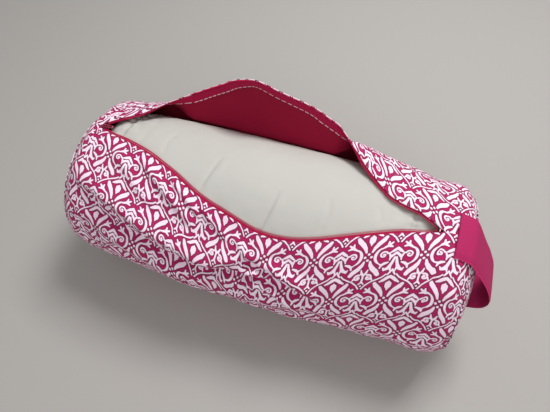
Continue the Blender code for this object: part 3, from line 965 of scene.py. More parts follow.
@dataclass(frozen=True)
class LacqueredMetal:
    """Die-cast metal with a coat of lacquer, rubbed at its edges."""

    name: str = "lacquered_zip_metal"
    colour: Colour = (0.30, 0.012, 0.05)
    rubbed: Colour = (0.46, 0.14, 0.18)
    metallic: float = 0.55
    coat: float = 0.4
    coat_roughness: float = 0.2
    edge_wear: tuple[float, float] = (0.52, 0.58)
    rub_size: float = 900.0
    dull_size: float = 1500.0
    roughness: tuple[float, float] = (0.28, 0.45)

    def build(self) -> Material:
        """Writes the material.

        Returns:
            The finished material.
        """
        material, book, shader = new_material(self.name)
        where = book.add("ShaderNodeTexCoord").outputs["Object"]
        edge = book.ramp(book.add("ShaderNodeNewGeometry").outputs["Pointiness"], *self.edge_wear)
        rub = book.math("MULTIPLY", edge, book.noise(where, self.rub_size, 3.0))
        rough = book.ramp(book.noise(where, self.dull_size), 0.0, 1.0, *self.roughness)
        for name, value in (("Base Color", book.mix(rub, self.colour, self.rubbed)), ("Roughness", rough),
                            ("Metallic", self.metallic), ("Coat Weight", self.coat),
                            ("Coat Roughness", self.coat_roughness)):
            book.feed(shader.inputs[name], value)
        return material


class Finishes:
    """The finishes of the whole bolster, each built once."""

    def __init__(self) -> None:
        """Builds the materials."""
        self.print = PrintedCloth("printed_cotton", (0.45, 0.013, 0.120), (0.37, 0.010, 0.093), sheen=0.05,
                                  creases=0.35, crease_size=26.0).build()
        # The lining, insert, tape, coil and strap mix painted shade into the gaps between their yarns through
        # the weave.
        self.lining = Cloth("crimson_lining", (0.34, 0.003, 0.037), (0.265, 0.0025, 0.028), sheen=0.0,
                            creases=0.3, crease_size=18.0).build()
        self.insert = Cloth("natural_cotton", (0.54, 0.53, 0.505), (0.475, 0.465, 0.44), uv=None,
                            roughness=0.9, pitch=0.0009, weave=0.5, creases=0.35, crease_size=22.0,
                            sheen=0.05).build()
        self.tape = StitchedCloth("zip_tape", (0.43, 0.004, 0.058), (0.355, 0.0035, 0.047), sheen=0.0,
                                  rows=(-0.72,), stitch=0.0090, thread=(0.85, 0.62, 0.68), half_width=0.0065,
                                  creases=0.1).build()
        self.coil = Cloth("zip_coil", (0.58, 0.010, 0.085), (0.48, 0.008, 0.070), uv=None, roughness=0.6,
                          weave=0.0, creases=0.0, sheen=0.0).build()
        self.strap = StitchedCloth("strap_cotton", (0.435, 0.019, 0.116), (0.375, 0.015, 0.096), sheen=0.0,
                                   rows=(-0.9, 0.9), stitch=0.0045, thread=(0.36, 0.012, 0.07),
                                   half_width=0.030, pitch=0.0009, weave=0.6, creases=0.25,
                                   crease_size=30.0).build()
        self.metal = LacqueredMetal().build()


# The cover

@dataclass(frozen=True)
class Fold:
    """A ridge or a hollow in slack cloth, along a path of (x, angle) points."""

    path: tuple[tuple[float, float], ...]
    height: float
    width: float
    fade: float = 0.25
    lean: float = 0.0

    def rise(self, x: Array, angle: Array, radius: float) -> Array:
        """How far the fold lifts the cloth at each place.

        Args:
            x: Places along the bolster.
            angle: Angles round it.
            radius: The cover's radius, which turns angles into lengths.

        Returns:
            The lift in metres.
        """
        path = tuple((px, math.radians(pa) * radius) for px, pa in self.path)
        away, share = to_path(x, np.radians(angle) * radius, path)
        width = self.width * np.where(away > 0, 1.0 + self.lean, 1.0 - self.lean)
        ends = smooth_step(share / self.fade) * smooth_step((1.0 - share) / self.fade)
        return self.height * ends * np.exp(-(away / width) ** 2)


@dataclass
class Body:
    """The cover's round shape as it lies, which every sewn piece follows."""

    radius: float = 0.120
    axis_height: float = 0.110
    seam_x: float = 0.281
    end_round: float = 0.031
    end_taper: float = 0.0415
    end_draw_in: float = 0.013
    end_lean: float = 0.011
    end_dome: float = 0.020
    depth_squeeze: float = 0.3
    slack_bulge: float = 0.013
    slack_power: float = 1.25
    slack_wave: Point = (0.15, 5.0, 0.6)
    slack_middle: tuple[float, float] = (-0.030, 96.0)
    slack_reach: tuple[float, float] = (0.240, 54.0)
    swell_middle: float = -47.0
    swell_reach: float = 37.0
    swells: Knots = (
        (-0.281, 0.0), (-0.265, 0.0034), (-0.230, 0.0065), (-0.220, 0.0080), (-0.205, 0.0125),
        (-0.195, 0.0145), (-0.180, 0.0120), (-0.165, 0.0040), (-0.150, 0.0), (0.070, 0.0), (0.085, 0.0100),
        (0.098, 0.0190), (0.110, 0.0220), (0.143, 0.0155), (0.180, 0.0100), (0.205, 0.0040), (0.225, 0.0),
        (0.281, 0.0))
    openings: Knots = (
        (-0.205, 0.0), (-0.195, 0.03), (-0.190, 0.08), (-0.185, 0.15), (-0.180, 0.24), (-0.175, 0.37),
        (-0.170, 0.53), (-0.165, 0.69), (-0.160, 0.86), (-0.155, 0.98), (-0.150, 1.0), (0.070, 1.0),
        (0.075, 0.91), (0.080, 0.77), (0.085, 0.61), (0.090, 0.44), (0.095, 0.29), (0.100, 0.17),
        (0.105, 0.08), (0.110, 0.02), (0.115, 0.0))
    fold_angle: float = -52.0
    open_angle: float = 65.0
    mouth_left: tuple[float, float] = (-0.248, -1.4)
    mouth_right: tuple[float, float] = (0.231, 8.6)
    front_edge: Knots = (
        (-0.248, -1.4), (-0.2468, 0.4), (-0.238, 1.7), (-0.2236, 3.5), (-0.2094, 4.9), (-0.192, 6.6),
        (-0.1745, 8.6), (-0.1568, 11.1), (-0.1386, 14.6), (-0.121, 17.9), (-0.1033, 21.7), (-0.086, 25.8),
        (-0.0695, 29.1), (-0.0539, 31.6), (-0.0389, 33.4), (-0.0239, 35.5), (-0.0091, 37.6), (0.0054, 39.4),
        (0.0193, 40.3), (0.0327, 40.6), (0.0456, 40.1), (0.0582, 39.2), (0.0704, 37.8), (0.0937, 34.0),
        (0.1162, 29.6), (0.1383, 25.1), (0.1602, 20.8), (0.1822, 16.8), (0.2043, 13.3), (0.223, 10.6),
        (0.2298, 9.6), (0.231, 8.6))
    back_edge: Knots = (
        (-0.248, -1.4), (-0.2455, -3.0), (-0.240, -6.0), (-0.235, -8.9), (-0.225, -14.4), (-0.215, -18.8),
        (-0.210, -20.9), (-0.205, -23.0), (-0.200, -25.5), (-0.190, -29.0), (-0.180, -32.0),
        (-0.170, -33.5), (-0.160, -33.5), (-0.150, -31.1), (-0.140, -28.4), (-0.1325, -26.0),
        (-0.122, -22.8), (-0.1115, -19.5), (-0.101, -16.2), (-0.080, -8.6), (-0.048, -2.4), (-0.015, -9.8),
        (0.042, -20.6), (0.050, -23.5), (0.060, -26.2), (0.070, -28.8), (0.080, -31.0), (0.090, -32.0),
        (0.100, -31.5), (0.110, -29.4), (0.120, -24.6), (0.130, -20.3), (0.140, -15.7), (0.150, -10.9),
        (0.160, -6.3), (0.170, -3.7), (0.180, -2.0), (0.190, -0.9), (0.200, 0.2), (0.210, 2.8),
        (0.220, 5.3), (0.2303, 8.5), (0.231, 8.6))
    folds: tuple[Fold, ...] = (
        Fold(((-0.265, 37), (-0.210, 43), (-0.170, 49), (-0.130, 56), (-0.091, 60), (-0.051, 65),
              (-0.012, 63), (0.028, 56)), 0.0125, 0.0125, 0.22, 0.45),
        Fold(((-0.262, 49), (-0.214, 54), (-0.168, 62), (-0.128, 67), (-0.098, 71), (-0.049, 74),
              (-0.009, 70), (0.021, 68), (0.052, 69), (0.094, 75)), -0.0170, 0.0054, 0.20),
        Fold(((-0.262, 50), (-0.214, 55), (-0.168, 62), (-0.128, 67), (-0.098, 71), (-0.049, 73),
              (-0.009, 70), (0.040, 67), (0.094, 74), (0.140, 82)), 0.0075, 0.0300, 0.30),
        Fold(((-0.255, 62), (-0.200, 68), (-0.150, 76), (-0.100, 83), (-0.040, 87), (0.030, 83), (0.090, 88)),
             0.0065, 0.0105),
        Fold(((0.000, 58), (0.032, 62), (0.059, 67), (0.094, 74), (0.135, 83)), -0.0110, 0.0050),
        Fold(((-0.005, 63), (0.028, 67), (0.060, 75), (0.100, 85)), 0.0055, 0.0055),
        Fold(((-0.040, 68), (0.003, 62), (0.031, 55), (0.060, 50)), -0.0060, 0.0050),
        Fold(((0.000, 52), (0.040, 56), (0.075, 63), (0.115, 72)), 0.0060, 0.0080),
        Fold(((-0.172, 13), (-0.132, 27), (-0.096, 38), (-0.060, 51)), 0.0058, 0.0060, 0.25, 0.30),
        Fold(((-0.124, 20), (-0.090, 31), (-0.056, 43)), 0.0042, 0.0046, 0.25, 0.30),
        Fold(((-0.076, 31), (-0.044, 41), (-0.012, 52)), 0.0040, 0.0046, 0.25, 0.30),
        Fold(((-0.215, 12), (-0.168, 30), (-0.118, 46)), 0.0040, 0.0075, 0.25, 0.20),
        Fold(((-0.020, 44), (0.010, 54), (0.035, 62)), 0.0032, 0.0050),
        Fold(((-0.276, 42), (-0.240, 47), (-0.205, 44)), -0.0024, 0.0055),
        Fold(((-0.276, 58), (-0.245, 62), (-0.215, 60)), 0.0020, 0.0060),
        Fold(((-0.276, 74), (-0.240, 80), (-0.200, 82)), -0.0024, 0.0060),
        Fold(((-0.276, 20), (-0.250, 22), (-0.225, 20)), -0.0018, 0.0050),
        Fold(((0.276, 60), (0.245, 66), (0.205, 64)), -0.0022, 0.0065),
        Fold(((0.276, 84), (0.240, 88), (0.195, 86)), 0.0020, 0.0080),
        Fold(((0.276, 42), (0.240, 45), (0.200, 40)), 0.0016, 0.0080),
        Fold(((-0.10, 255), (-0.02, 262), (0.07, 258)), -0.0030, 0.0120),
        Fold(((-0.19, 240), (-0.11, 249), (-0.04, 243)), 0.0026, 0.0110),
        Fold(((0.02, 244), (0.10, 250), (0.18, 246)), -0.0026, 0.0110),
        Fold(((-0.22, 280), (-0.15, 276), (-0.09, 283)), -0.0022, 0.0090),
        Fold(((0.10, 284), (0.17, 277), (0.23, 282)), 0.0022, 0.0090),
    )
    ripples: tuple[Point, ...] = ((0.0015, 0.045, 3.1), (0.0008, 0.018, 8.4))
    hollow_share: float = 0.92
    hollow_room: float = 0.0004
    gathers: float = 46.0
    gather_wander: Point = (3.0, 0.05, 5.0)
    gather_height: float = 0.0006
    gather_reach: float = 0.012
    groove: Point = (0.0012, 0.004, 0.0025)
    floor_half: float = 24.0
    floor_fade: float = 14.0
    strap_x: float = 0.225
    strap_angle: float = 8.0
    strap_half: float = 17.0
    strap_fade: float = 8.0
    edge_fade: float = 0.012
    bend_start: float = -1.5
    bend_width: float = 4.0

    def slack(self, x: Array, angle: Array) -> Array:
        """How far the loose cloth stands out on the front, with a few shallow folds in it.

        Args:
            x: Places along the bolster.
            angle: Angles round it.

        Returns:
            The lift in metres.
        """
        along = np.clip((x - self.slack_middle[0]) / self.slack_reach[0], -1.0, 1.0)
        round_it = np.clip((angle - self.slack_middle[1]) / self.slack_reach[1], -1.0, 1.0)
        swell = (1.0 - along ** 2) ** self.slack_power * (1.0 - round_it ** 2) ** 2
        share, count, skew = self.slack_wave
        wave = np.cos(count * math.pi * (round_it + skew * along))
        return self.slack_bulge * swell * (1.0 - share + share * wave)

    def swell(self, x: Array, angle: Array) -> Array:
        """How far the back panel bows out beside the open lip.

        Args:
            x: Places along the bolster.
            angle: Angles round it.

        Returns:
            The lift in metres.
        """
        turned = (angle + 180.0) % 360.0 - 180.0 - self.swell_middle
        round_it = np.clip(turned / self.swell_reach, -1.0, 1.0)
        return through_all(self.swells, x) * (1.0 - round_it ** 2) ** 2

    def surface(self, x: Array, angle: Array, depth: float | Array = 0.0,
                lift: float | Array = 0.0) -> Array:
        """Points of the closed cover.

        Args:
            x: Places along the bolster.
            angle: Angles round it.
            depth: How far the points lie below the printed face.
            lift: How far folds raise the cloth there.

        Returns:
            The points, with x, y, z as the last axis.
        """
        x, angle = np.broadcast_arrays(np.asarray(x, float), np.asarray(angle, float))
        turn = np.radians(angle)
        taper = np.clip((np.abs(x) - (self.seam_x - self.end_taper)) / self.end_taper, 0.0, None)
        slack = self.slack(x, angle) + self.swell(x, angle) + lift
        inwards = depth * (1.0 + self.depth_squeeze * taper)
        radius = self.radius - self.end_draw_in * taper ** 3 + slack - inwards
        end = (np.abs(x) - (self.seam_x - self.end_round)) / self.end_round
        lean = np.copysign(self.end_lean * smooth_step(end), x) * np.cos(turn)
        height = self.axis_height + radius * np.cos(turn)
        return np.stack([x - lean, -radius * np.sin(turn), np.maximum(height, depth)], axis=-1)

    def opening(self, x: Array) -> Array:
        """How far the back lip stands open at each place along the bolster, in degrees."""
        return self.open_angle * through_all(self.openings, x)

    def opened(self, x: Array, angle: Array, points: Array) -> Array:
        """Turns the part of the back lip beyond the fold to where it stands, over a soft bend.

        Args:
            x: Places along the bolster.
            angle: Angles round it, where the back is negative.
            points: The closed cover's points there.

        Returns:
            The points of the cover as it is open.
        """
        pivot = np.array(self.fold_point())
        bend = smooth_step((angle - self.fold_angle - self.bend_start) / self.bend_width)
        swing = -np.radians(self.opening(x)) * bend
        away = points - pivot
        y = away[..., 1] * np.cos(swing) - away[..., 2] * np.sin(swing)
        z = away[..., 1] * np.sin(swing) + away[..., 2] * np.cos(swing)
        return np.stack([points[..., 0], y + pivot[1], z + pivot[2]], axis=-1)

    def fold_point(self, outward: float = 0.0) -> tuple[float, float, float]:
        """A point of the flap's fold, or one that lies further out from it, in the middle of the bolster.

        Args:
            outward: How much further out than the cover the point lies.

        Returns:
            The point.
        """
        turn = math.radians(self.fold_angle)
        reach = self.radius + outward
        return 0.0, -reach * math.sin(turn), self.axis_height + reach * math.cos(turn)

    def flap_share(self, x: Array) -> Array:
        """1 where the back lip stands fully open, falling to 0 where the mouth is closed."""
        return self.opening(x) / self.open_angle

    def lift(self, x: Array, angle: Array, from_edge: Array) -> Array:
        """How far folds and small waves raise the cloth, fading out at the mouth's edges and on the floor.

        Args:
            x: Places along the bolster.
            angle: Angles round it, from the front edge under the body to the back edge.
            from_edge: Distance from the mouth's nearest edge, in metres.

        Returns:
            The lift in metres.
        """
        total = sum(fold.rise(x, angle, self.radius) for fold in self.folds)
        base = self.surface(x, angle)
        room = self.slack(x, angle) + self.swell(x, angle)
        total = np.maximum(total + waves(base, *self.ripples), -self.hollow_share * room - self.hollow_room)
        seam = self.seam_x - np.abs(x)
        pucker = np.cos(np.radians(angle) * self.gathers + waves(base, self.gather_wander))
        total = total + self.gather_height * pucker * np.exp(-(seam / self.gather_reach) ** 2)
        depth, place, width = self.groove
        total = total - depth * np.exp(-((seam - place) / width) ** 2)
        floor = smooth_step((np.abs(np.abs(angle) - 180.0) - self.floor_half) / self.floor_fade)
        from_strap = np.abs(angle - self.strap_angle - np.where(angle > 180, 360, 0)) - self.strap_half
        strap = np.where(x > self.strap_x, smooth_step(from_strap / self.strap_fade), 1.0)
        return total * smooth_step(from_edge / self.edge_fade) * floor * strap


@dataclass
class Cover:
    """The printed cover and its lining: each is one cloth from the front lip, under the body, to the back."""

    body: Body
    finishes: Finishes
    front_columns: int = 76
    under_columns: int = 34
    back_columns: int = 28
    lip_columns: int = 38
    seam_rows: tuple[int, int] = (12, 16)
    mouth_rows: int = 11
    inner_rows: tuple[tuple[float, int], ...] = ((-0.2185, 15), (-0.200, 84), (0.098, 20), (0.132, 30))
    under_start: float = 115.0
    under_end: float = 245.0
    before_fold: float = 6.0
    hem: float = 0.0020
    lining_back: float = 0.0016
    lining_fade: float = 6.0
    map_turn: tuple[float, float] = (130.0, 100.0)
    mouth_room: float = 0.002
    cloth_round: float = 0.752
    first_cluster: float = 0.028
    column_x: float = 0.0320
    print_inset: float = -0.0012
    lining_inset: float = 0.0006
    lining_inside: float = 0.0024
    disc_rings: tuple[tuple[float, float, int], ...] = ((0.0, 0.85, 18), (0.87, 1.0, 9))
    disc_angles: int = 180
    disc_gather: tuple[float, float] = (0.0007, 0.07)
    disc_ripple: Point = (0.0010, 0.05, 11.0)
    disc_groove: Point = (0.0008, 0.965, 0.02)
    bend_reach: tuple[float, float] = (0.0035, 0.040)

    def rows(self) -> Array:
        """Places of the rows along the bolster, closer where an edge runs steeply round the body.

        Returns:
            The places, in rising x.
        """
        body = self.body
        marks = ((-body.seam_x, self.seam_rows[0]), (body.mouth_left[0], self.mouth_rows), *self.inner_rows,
                 (body.mouth_right[0], self.seam_rows[1]), (body.seam_x, 0))
        parts = [np.linspace(start, end, count) for (start, count), (end, _) in zip(marks, marks[1:])]
        return np.unique(np.concatenate(parts).round(6))

    def angles(self, x: float, layer: Layer) -> Array:
        """Stations round the body at one row, from the front lip to the back lip.

        Args:
            x: The row's place along the bolster.
            layer: Print or lining.

        Returns:
            The angles, in degrees.
        """
        body = self.body
        front = through(body.front_edge, x)
        back = through(body.back_edge, x)
        if body.mouth_left[0] < x < body.mouth_right[0]:
            if layer is Layer.LINING:
                set_back = math.degrees(self.lining_back / body.radius)
                back -= set_back * min(1.0, (front - back) / self.lining_fade)
                front += set_back * min(1.0, (front - back) / self.lining_fade)
            else:
                back += math.degrees(self.hem / body.radius) * float(body.flap_share(np.array(x)))
        bend = 360.0 + body.fold_angle - self.before_fold
        return np.concatenate([np.linspace(front, self.under_start, self.front_columns)[:-1],
                               np.linspace(self.under_start, self.under_end, self.under_columns)[:-1],
                               np.linspace(self.under_end, bend, self.back_columns)[:-1],
                               np.linspace(bend, 360.0 + back, self.lip_columns)])

    def build_layer(self, name: str, layer: Layer, material: Material) -> Piece:
        """Makes one layer of the barrel.

        Args:
            name: The piece's name.
            layer: Print or lining.
            material: Its finish.

        Returns:
            The piece, with its thickness and its flat map.
        """
        body = self.body
        depth, thickness = layer.value
        xs = self.rows()
        angle = np.array([self.angles(x, layer) for x in xs])
        x = np.repeat(xs[:, None], angle.shape[1], axis=1)
        from_front = np.radians(angle - angle[:, :1]) * body.radius
        from_back = np.radians(angle[:, -1:] - angle) * body.radius
        in_mouth = (x > body.mouth_left[0] - self.mouth_room) & (x < body.mouth_right[0] + self.mouth_room)
        from_edge = np.where(in_mouth, np.minimum(from_front, from_back), 1.0)
        points = body.surface(x, angle, depth, body.lift(x, angle, from_edge))
        from_front = from_front + self.run(points) - self.run(body.surface(x, angle, depth))
        points = body.opened(x, np.where(angle > 180.0, angle - 360.0, -180.0), points)
        share = smooth_step((angle - self.map_turn[0]) / self.map_turn[1])
        down = from_front * (1.0 - share) + (self.cloth_round - from_back) * share
        flat = np.stack([x - self.column_x, down - self.first_cluster], axis=-1)
        piece = piece_from(name, points, grid_faces(*angle.shape), material, flat)
        join_close(piece, SAME_RIM, rims_only=True)
        thicken(piece, thickness)
        return piece

    @staticmethod
    def run(points: Array) -> Array:
        """How far the cloth has run from its front edge at each point of each row."""
        return run_from(np.linalg.norm(np.diff(points, axis=1), axis=2))

    def build_end(self, name: str, side: Side, layer: Layer, material: Material) -> Piece:
        """Makes one layer of an end disc, gathered a little at its seam.

        Args:
            name: The piece's name.
            side: Which end.
            layer: Print or lining.
            material: Its finish.

        Returns:
            The piece.
        """
        body = self.body
        out = side.value
        printed = layer is Layer.PRINT
        share = np.concatenate([np.linspace(*ring) for ring in self.disc_rings])[:, None]
        angle = np.linspace(0.0, 360.0, self.disc_angles, endpoint=False)
        rim = body.surface(out * body.seam_x, angle, 0.0 if printed else self.lining_inside)
        middle = np.array([out * body.seam_x, 0.0, body.axis_height])
        points = middle + (rim - middle)[None] * share[..., None]
        rise = body.end_dome * (1.0 - share ** 2) - (self.print_inset if printed else self.lining_inset)
        if printed:
            height, reach = self.disc_gather
            gather = np.cos(np.radians(angle) * body.gathers)
            rise = rise + height * gather * np.exp(-((1.0 - share) / reach) ** 2)
            height, size, seed = self.disc_ripple
            rise = rise + waves(points, (height, size, seed + out)) * (1.0 - share ** 4)
            depth, place, width = self.disc_groove
            rise = rise - depth * np.exp(-((share - place) / width) ** 2)
        points[..., 0] += out * rise
        faces = grid_faces(*points.shape[:2], closed=True, flip=side is Side.RIGHT)
        flat = np.stack([out * points[..., 1], points[..., 2]], axis=-1)
        piece = piece_from(name, points, faces, material, flat)
        join_close(piece, SAME_PLACE)
        thicken(piece, layer.value[1])
        return piece

    def bend_line(self) -> tuple[Vector, Vector]:
        """Where the cloth starts to follow the flap and where it follows it wholly, out from the fold."""
        start, end = (Vector(self.body.fold_point(reach)) for reach in self.bend_reach)
        return start, end

    def build(self) -> list[Piece]:
        """Builds the cover's six cloths.

        Returns:
            The printed barrel, the lining barrel and the end discs.
        """
        start, end = self.bend_line()
        made = []
        for name, layer, material, nodes in (
                ("printed_cover", Layer.PRINT, self.finishes.print, ("cover_barrel", "cover_flap")),
                ("cover_lining", Layer.LINING, self.finishes.lining, ("lining_barrel", "lining_flap"))):
            piece = self.build_layer(name, layer, material)
            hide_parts(*nodes)
            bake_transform(piece)
            made.append(piece)
        for side, word in ((Side.LEFT, "left"), (Side.RIGHT, "right")):
            for layer, material, prefix in ((Layer.PRINT, self.finishes.print, "cover"),
                                            (Layer.LINING, self.finishes.lining, "lining")):
                piece = self.build_end(f"{prefix}_disc_{word}", side, layer, material)
                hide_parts(f"{prefix}_end_{word}")
                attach(piece, "cover")
                made.append(piece)
        return made


# The insert

@dataclass
class Insert:
    """The stuffed cylinder in natural cotton, with a sewn disc at each end."""

    finishes: Finishes
    radius: float = 0.1145
    centre_x: float = -0.010
    half_length: float = 0.207
    axis_height: float = 0.111
    floor: float = 0.0021
    crown: float = 0.004
    domes: tuple[float, float] = (0.055, 0.075)
    columns: int = 160
    grain: float = 0.005
    most_moved: float = 0.0018
    steps: int = 20
    held_reach: float = 0.004
    noise_radius: float = 0.11
    lumps: tuple[Point, ...] = ((0.0011, 0.06, 21.0), (0.0005, 0.02, 27.0))
    seam_groove: tuple[float, float] = (0.0030, 0.0034)
    gathers: float = 52.0
    gather_wander: Point = (4.0, 0.04, 33.0)
    gather_size: tuple[float, float] = (0.0011, 0.012)
    dome_power: float = 2.6
    dome_rings: tuple[tuple[float, float, int], ...] = ((0.0, 0.9, 16), (0.92, 1.0, 7))
    barrel_rows: int = 96
    creases: tuple[Fold, ...] = (
        Fold(((0.028, 8), (0.020, 28), (0.010, 52)), -0.0022, 0.0026),
        Fold(((0.034, 12), (0.026, 30), (0.018, 48)), 0.0010, 0.0040),
        Fold(((-0.062, -6), (-0.070, 10), (-0.078, 28)), -0.0020, 0.0026),
        Fold(((-0.055, -2), (-0.062, 12), (-0.070, 26)), 0.0009, 0.0040),
        Fold(((0.090, 4), (0.094, 18), (0.088, 34)), -0.0012, 0.0030),
        Fold(((-0.140, -18), (-0.148, -4), (-0.142, 8)), -0.0012, 0.0028),
        Fold(((0.150, 0), (0.158, 12), (0.150, 22)), -0.0011, 0.0026),
    )

    def seams(self) -> tuple[float, float]:
        """Where the two end seams lie."""
        return self.centre_x - self.half_length, self.centre_x + self.half_length

    def shell(self) -> tuple[Array, Faces]:
        """Rows of points from the left end's middle to the right end's middle.

        Returns:
            The points and the faces.
        """
        shares = np.concatenate([np.linspace(*ring) for ring in self.dome_rings])[:-1]
        left, right = ([(seam + dome * math.sqrt(1.0 - share ** self.dome_power), share) for share in shares]
                       for seam, dome in zip(self.seams(), (-self.domes[0], self.domes[1])))
        barrel = [(x, 1.0) for x in np.linspace(*self.seams(), self.barrel_rows)]
        rows = np.array(left + barrel + right[::-1])
        angle = np.linspace(0.0, 360.0, self.columns, endpoint=False)
        x = rows[:, :1] + 0.0 * angle
        along = np.clip((x - self.centre_x) / self.half_length, -1.0, 1.0)
        turn = np.radians(angle)[None]
        radius = (self.radius - self.crown * along ** 2) * rows[:, 1:]
        height = np.maximum(self.axis_height + radius * np.cos(turn), self.floor)
        points = np.stack([x, -radius * np.sin(turn), height], axis=-1)
        return points, grid_faces(len(rows), self.columns, closed=True, flip=True)

    def dents(self, x: Array, angle: Array) -> Array:
        """How the stuffing, the seams with their gathers, and the creases shape the cotton.

        Args:
            x: Places along the bolster.
            angle: Angles round it.

        Returns:
            The lift at each place, in metres.
        """
        turn = np.radians(angle)
        places = np.stack([x, np.sin(turn) * self.noise_radius, np.cos(turn) * self.noise_radius], axis=-1)
        total = waves(places, *self.lumps)
        gather = np.cos(turn * self.gathers + waves(places, self.gather_wander))
        for seam in self.seams():
            away = np.abs(x - seam)
            total = total - self.seam_groove[0] * np.exp(-(away / self.seam_groove[1]) ** 2)
            total = total + self.gather_size[0] * gather * np.exp(-away / self.gather_size[1])
        return total + sum(fold.rise(x, angle, self.radius) for fold in self.creases)

    def crease(self, piece: Piece) -> None:
        """Sinks the seams and the creases into the settled cotton.

        Args:
            piece: The insert, whose points are moved out from its axis or towards it.
        """
        points = read_points(piece.data)
        y, z = points[:, 1], points[:, 2] - self.axis_height
        out = np.hypot(y, z)
        share = np.clip(out / self.radius, 0.0, 1.0) ** 2
        lift = self.dents(points[:, 0], np.degrees(np.arctan2(-y, z))) * share / np.maximum(out, TINY)
        points[:, 2] = np.maximum(points[:, 2] + z * lift, self.floor)
        points[:, 1] += y * lift
        write_points(piece.data, points)

    def settle(self, piece: Piece) -> None:
        """Lets the cotton settle as a cloth that the stuffing presses outwards between its sewn seams.

        Args:
            piece: The insert, whose mesh is replaced by an even one in its settled shape.
        """
        even = piece.modifiers.new("even", "REMESH")
        even.mode = "VOXEL"
        even.voxel_size = self.grain
        even.use_smooth_shade = True
        apply_modifiers(piece)
        rest = read_points(piece.data)
        from_seam = np.min([np.abs(rest[:, 0] - seam) for seam in self.seams()], axis=0)
        held = np.nonzero((from_seam < self.held_reach) | (rest[:, 2] < self.floor + self.held_reach))[0]
        piece.vertex_groups.new(name="sewn").add([int(i) for i in held], 1.0, "REPLACE")
        cloth = piece.modifiers.new("stuffing", "CLOTH")
        for name, value in (("vertex_group_mass", "sewn"), ("quality", 6), ("mass", 0.3),
                            ("bending_stiffness", 0.3), ("shrink_min", -0.035), ("use_pressure", True),
                            ("uniform_pressure_force", 4.0)):
            setattr(cloth.settings, name, value)
        cloth.settings.effector_weights.gravity = 0.0
        cloth.point_cache.frame_start = 1
        cloth.point_cache.frame_end = self.steps
        for step in range(1, self.steps + 1):
            bpy.context.scene.frame_set(step)
        moved = read_points(piece.evaluated_get(bpy.context.evaluated_depsgraph_get()).data) - rest
        length = np.linalg.norm(moved, axis=1, keepdims=True)
        moved *= np.minimum(1.0, self.most_moved / np.maximum(length, TINY))
        piece.modifiers.remove(cloth)
        bpy.context.scene.frame_set(1)
        placed = rest + moved
        placed[:, 2] = np.maximum(placed[:, 2], self.floor)
        write_points(piece.data, placed)
        log.info("insert settled: %d points, mean pull %.2f mm", len(rest), 1000.0 * float(length.mean()))
        finer = piece.modifiers.new("finer", "SUBSURF")
        finer.levels = 1
        finer.render_levels = 1
        apply_modifiers(piece)

    def build(self) -> Piece:
        """Returns:
            The insert.
        """
        piece = piece_from("insert", *self.shell(), self.finishes.insert)
        join_close(piece, SAME_PLACE)
        self.settle(piece)
        self.crease(piece)
        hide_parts("insert_barrel", "insert_end_left", "insert_end_right", "insert_fill")
        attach(piece, "cover")
        return piece


# The zip

